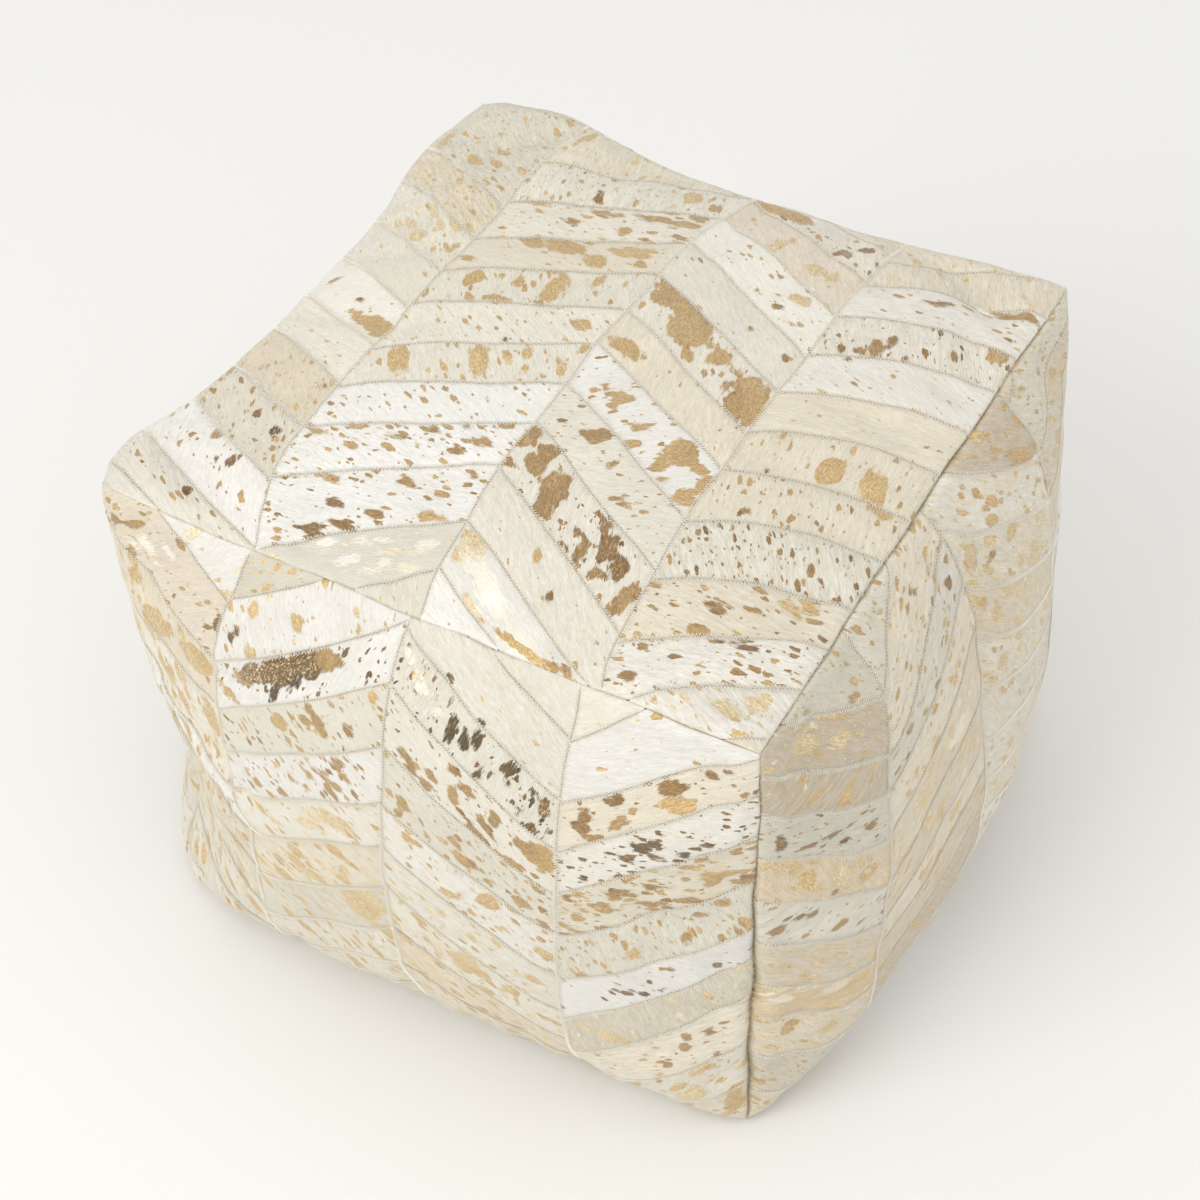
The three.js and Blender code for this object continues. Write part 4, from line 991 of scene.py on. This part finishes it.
def root_hairs(face, column, row, upper, lower):
    """Where hairs grow along the cut edges of a strip, and thinly all over it."""
    rng = np.random.default_rng(FACES.index(face) * 1000 + column * 100 + row)
    _, fur, *_, angle = recipe(face, column, row)
    p, q = rng.random(sum(HAIRS)), rng.random(sum(HAIRS))
    upper_edge, lower_edge, left_end, right_end, loose = (
        slice(sum(HAIRS[:n]), sum(HAIRS[:n + 1])) for n in range(len(HAIRS)))
    q[upper_edge] *= 0.06
    q[lower_edge] = 1 - q[lower_edge] * 0.06
    p[left_end] *= 0.02
    p[right_end] = 1 - p[right_end] * 0.02
    high, low = seam_at(face, column, upper, p), seam_at(face, column, lower, p)
    b = high + (low - high) * q
    la, ra = across_at(face, column, b)
    a = la + (ra - la) * p
    if fur > 0.55:  # a furry strip sheds some over the edge of its panel
        by_rim = 0.012 * q[loose]
        a[loose] = np.where(a[loose] > 0.93, 1 - by_rim, a[loose])
        b[loose] = np.where(b[loose] < 0.07, by_rim, b[loose])
    ok = (b > 0.002) & (b < 0.998)
    even = np.ones(ok.sum())
    hair_roots[face].append((a[ok], b[ok], angle * even, fur * even))


def stacked(parts):
    """Several (points, quads) as one, with the quads counted on."""
    starts = np.cumsum([0] + [len(points) for points, _ in parts])
    quads = [quads + start for (_, quads), start in zip(parts, starts)]
    return np.concatenate([points for points, _ in parts]), np.concatenate(quads)


def cover_column(face, column):
    """The piece of cover that one column makes, from all its strips."""
    seams = [ABOVE] + SEAMS[face][column] + [BELOW]
    strips = []
    for row in range(len(seams) - 1):
        strip = build_strip(face, column, row, seams[row], seams[row + 1])
        if strip:
            strips.append(strip)
            root_hairs(face, column, row, seams[row], seams[row + 1])
    point, quads = stacked([(strip["point"], strip["quads"]) for strip in strips])
    carried = [(key, np.concatenate([strip[key] for strip in strips])) for key in CARRIED]
    piece = new_mesh(f"cover_{face}_{column + 1}", point, quads, carried)
    tone = SLOTS[face][column]
    dress(piece, hide_materials[tone])
    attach(piece, "pouf")
    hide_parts(f"{face}_column_{column + 1}")


def seam_threads(face, column):
    """The lines that the stitches over the seams of one column follow."""
    p = np.linspace(0, 1, 60)
    for seam in SEAMS[face][column]:
        b = seam_at(face, column, seam, p)
        keep = (b > FIRST_STITCH) & (b < LAST_STITCH[face])
        if keep.sum() > 4:
            la, ra = across_at(face, column, b[keep])
            threads[face].append((la + (ra - la) * p[keep], b[keep]))


for face in FACES:
    for column in range(4):
        cover_column(face, column)
        seam_threads(face, column)
    for line in range(3):
        b = np.linspace(FIRST_STITCH, LAST_STITCH[face], 200)
        threads[face].append((across_at(face, line + 1, b)[0], b))


# ---------------------------------------------------------------- zig-zag stitches over every seam
# mm: from stitch to stitch, half the width of the zig-zag, radius of the thread, height of its core
STITCH, STITCH_WIDE, THREAD, STITCH_HEIGHT = 1.05, 1.7, 0.19, 0.28


def zigzag(face, a, b):
    """A three-sided thread that goes to and fro over the seam through the points (a, b)."""
    tall = PANEL_TALL[face]
    x, y = a * PANEL_WIDE, b * tall
    run = np.concatenate([[0], np.cumsum(np.hypot(np.diff(x), np.diff(y)))])
    if run[-1] < 6:
        return None
    marks = np.linspace(0.5, run[-1] - 0.5, max(3, int(run[-1] / STITCH)))
    x, y = np.interp(marks, run, x), np.interp(marks, run, y)
    dx, dy = np.gradient(x), np.gradient(y)
    size = np.hypot(dx, dy)
    side = np.where(np.arange(len(x)) % 2, STITCH_WIDE, -STITCH_WIDE)
    a2 = np.clip((x - dy / size * side) / PANEL_WIDE, 0.003, 0.997)
    b2 = np.clip((y + dx / size * side) / tall, 0.003, 0.997)
    point, normal = raised_point(face, a2, b2, STITCH_HEIGHT)
    start, end = point[:-1], point[1:]
    mid_normal = normal[:-1]
    sideways = np.cross(unit(end - start), mid_normal)
    rings = []
    for turn in (90, 210, 330):
        c, s = math.cos(math.radians(turn)), math.sin(math.radians(turn))
        rings.append((sideways * c + mid_normal * s) * THREAD)
    verts = np.stack([start + r for r in rings] + [end + r for r in rings], 1)
    base = np.arange(len(start))[:, None] * 6
    quads = np.concatenate([base + np.array([q]) for q in ((0, 3, 4, 1), (1, 4, 5, 2), (2, 5, 3, 0))])
    return verts.reshape(-1, 3), quads


thread_material = Shader("pale_thread").finish(
    Base_Color=(0.93, 0.89, 0.79, 1), Roughness=0.5, Sheen_Weight=0.2)
for face in FACES:
    sewn = [zigzag(face, a, b) for a, b in threads[face]]
    piece = new_mesh(f"stitches_{face}", *stacked([made for made in sewn if made]))
    dress(piece, thread_material)
    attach(piece, "pouf")


# ---------------------------------------------------------------- hair that stands over the seams
def strands(face, a, b, angle, length, lift):
    """Flat tapering hairs rooted at (a, b), lying along the coat."""
    turn = np.radians(angle)
    da, db = np.cos(turn) / PANEL_WIDE, np.sin(turn) / PANEL_TALL[face]
    rows = []
    for share, high, wide in ((0, -0.25, 0.11), (0.5, 1, 0.09), (1, 0.75, 0.015)):
        sa, sb = np.clip(a + da * length * share, 0, 1), np.clip(b + db * length * share, 0, 1)
        rows.append((*raised_point(face, sa, sb, (lift * high)[..., None]), wide))
    along = unit(rows[2][0] - rows[0][0])
    verts = []
    for point, normal, wide in rows:
        across = np.cross(along, normal)
        verts += [point - across * wide, point + across * wide]
    base = np.arange(len(a))[:, None] * 6
    quads = np.concatenate([base + np.array([q]) for q in ((0, 1, 3, 2), (2, 3, 5, 4))])
    return np.stack(verts, 1).reshape(-1, 3), quads


hair_material = Shader("pale_hair").finish(
    Base_Color=(0.74, 0.70, 0.61, 1), Roughness=0.5, Sheen_Weight=0.2)
for n, face in enumerate(FACES):
    rng = np.random.default_rng(40 + n)
    a, b, angle, fur = (np.concatenate(parts) for parts in zip(*hair_roots[face]))
    keep = rng.random(len(a)) < 0.35 + 0.65 * fur
    a, b, angle, fur = a[keep], b[keep], angle[keep], fur[keep]
    jitter = rng.normal(0, 14, len(a))
    length = (2.2 + 3.2 * fur) * rng.uniform(0.6, 1.2, len(a))
    lift = rng.uniform(0.15, 0.5, len(a)) * (0.6 + fur)
    points, quads = strands(face, a, b, angle + jitter, length, lift)
    piece = new_mesh(f"hair_{face}", points, quads)
    dress(piece, hair_material)
    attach(piece, "pouf")


# ---------------------------------------------------------------- the CAD parts that show as they are
canvas = woven_material("plain_canvas", (0.66, 0.60, 0.50), 3000)
cotton = woven_material("liner_cotton", (0.84, 0.83, 0.78), 4200)
tape = woven_material("zip_tape_weave", (0.70, 0.64, 0.54), 6000)
coil = solid_material("zip_coil_nylon", (0.62, 0.56, 0.44), 0.4)
brass = solid_material("satin_brass", (0.62, 0.45, 0.22), 0.3, 1.0)
beads = solid_material("foam_beads", (0.9, 0.9, 0.88), 0.7)
tab_hide = solid_material("end_tab_hide", (0.66, 0.58, 0.46), 0.7)
for node, material in {
    "base_panel": canvas, "liner_bag": cotton, "bead_filling": beads, "zip_tape_upper": tape,
    "zip_tape_lower": tape, "zip_coil_upper": coil, "zip_coil_lower": coil, "zip_stop_closed_end": brass,
    "zip_stop_open_end": brass, "zip_end_tab_right": tab_hide, "zip_end_tab_left": tab_hide,
    "zip_slider": brass, "zip_pull": brass,
}.items():
    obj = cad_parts[node]
    for slot in obj.material_slots:
        slot.link = "OBJECT"
        slot.material = material


# ---------------------------------------------------------------- floor, light and camera
floor_mesh = bpy.data.meshes.new("floor")
floor_mesh.from_pydata([(-6, -6, 0), (6, -6, 0), (6, 6, 0), (-6, 6, 0)], [], [(0, 1, 2, 3)])
floor = link("floor", floor_mesh)
dress(floor, Shader("pale_floor").finish(Base_Color=(0.80, 0.80, 0.79, 1), Roughness=0.9))

AZIMUTH, ELEVATION, ROLL = math.radians(30.9), math.radians(46.8), math.radians(-2.2)
TARGET, DISTANCE = Vector((-0.001, -0.011, 0.192)), 1.586
away = math.cos(ELEVATION)
back = Vector((math.sin(AZIMUTH) * away, -math.cos(AZIMUTH) * away, math.sin(ELEVATION)))
level_right = Vector((math.cos(AZIMUTH), math.sin(AZIMUTH), 0))
level_up = back.cross(level_right)
right = level_right * math.cos(ROLL) + level_up * math.sin(ROLL)
up = level_up * math.cos(ROLL) - level_right * math.sin(ROLL)
eye = TARGET + back * DISTANCE
camera_data = bpy.data.cameras.new("camera")
camera_data.lens, camera_data.sensor_width = 69.4, 36
camera = link("camera", camera_data)
camera.matrix_world = Matrix((
    (right.x, up.x, back.x, eye.x), (right.y, up.y, back.y, eye.y), (right.z, up.z, back.z, eye.z),
    (0, 0, 0, 1)))
bpy.context.scene.camera = camera


def area_light(name, place, size, power, colour):
    data = bpy.data.lights.new(name, "AREA")
    data.size, data.energy, data.color = size, power, colour
    lamp = link(name, data)
    lamp.location = place
    lamp.rotation_euler = (Vector((0, 0, 0.2)) - Vector(place)).to_track_quat("-Z", "Y").to_euler()


area_light("key", (-1.4, -3.3, 2.8), 2.6, 78, (1.0, 0.985, 0.95))
area_light("top", (0.9, -0.3, 3.0), 3.0, 14, (1.0, 0.99, 0.97))
area_light("fill", (2.6, -1.2, 1.4), 2.2, 5, (1.0, 0.96, 0.89))
world = bpy.data.worlds.new("studio")
bpy.context.scene.world = world
world.use_nodes = True
background = world.node_tree.nodes["Background"]
background.inputs["Color"].default_value = (1.0, 0.992, 0.97, 1)
background.inputs["Strength"].default_value = 0.86
bpy.context.scene.view_settings.view_transform = "Standard"
bpy.context.scene.view_settings.look = "None"
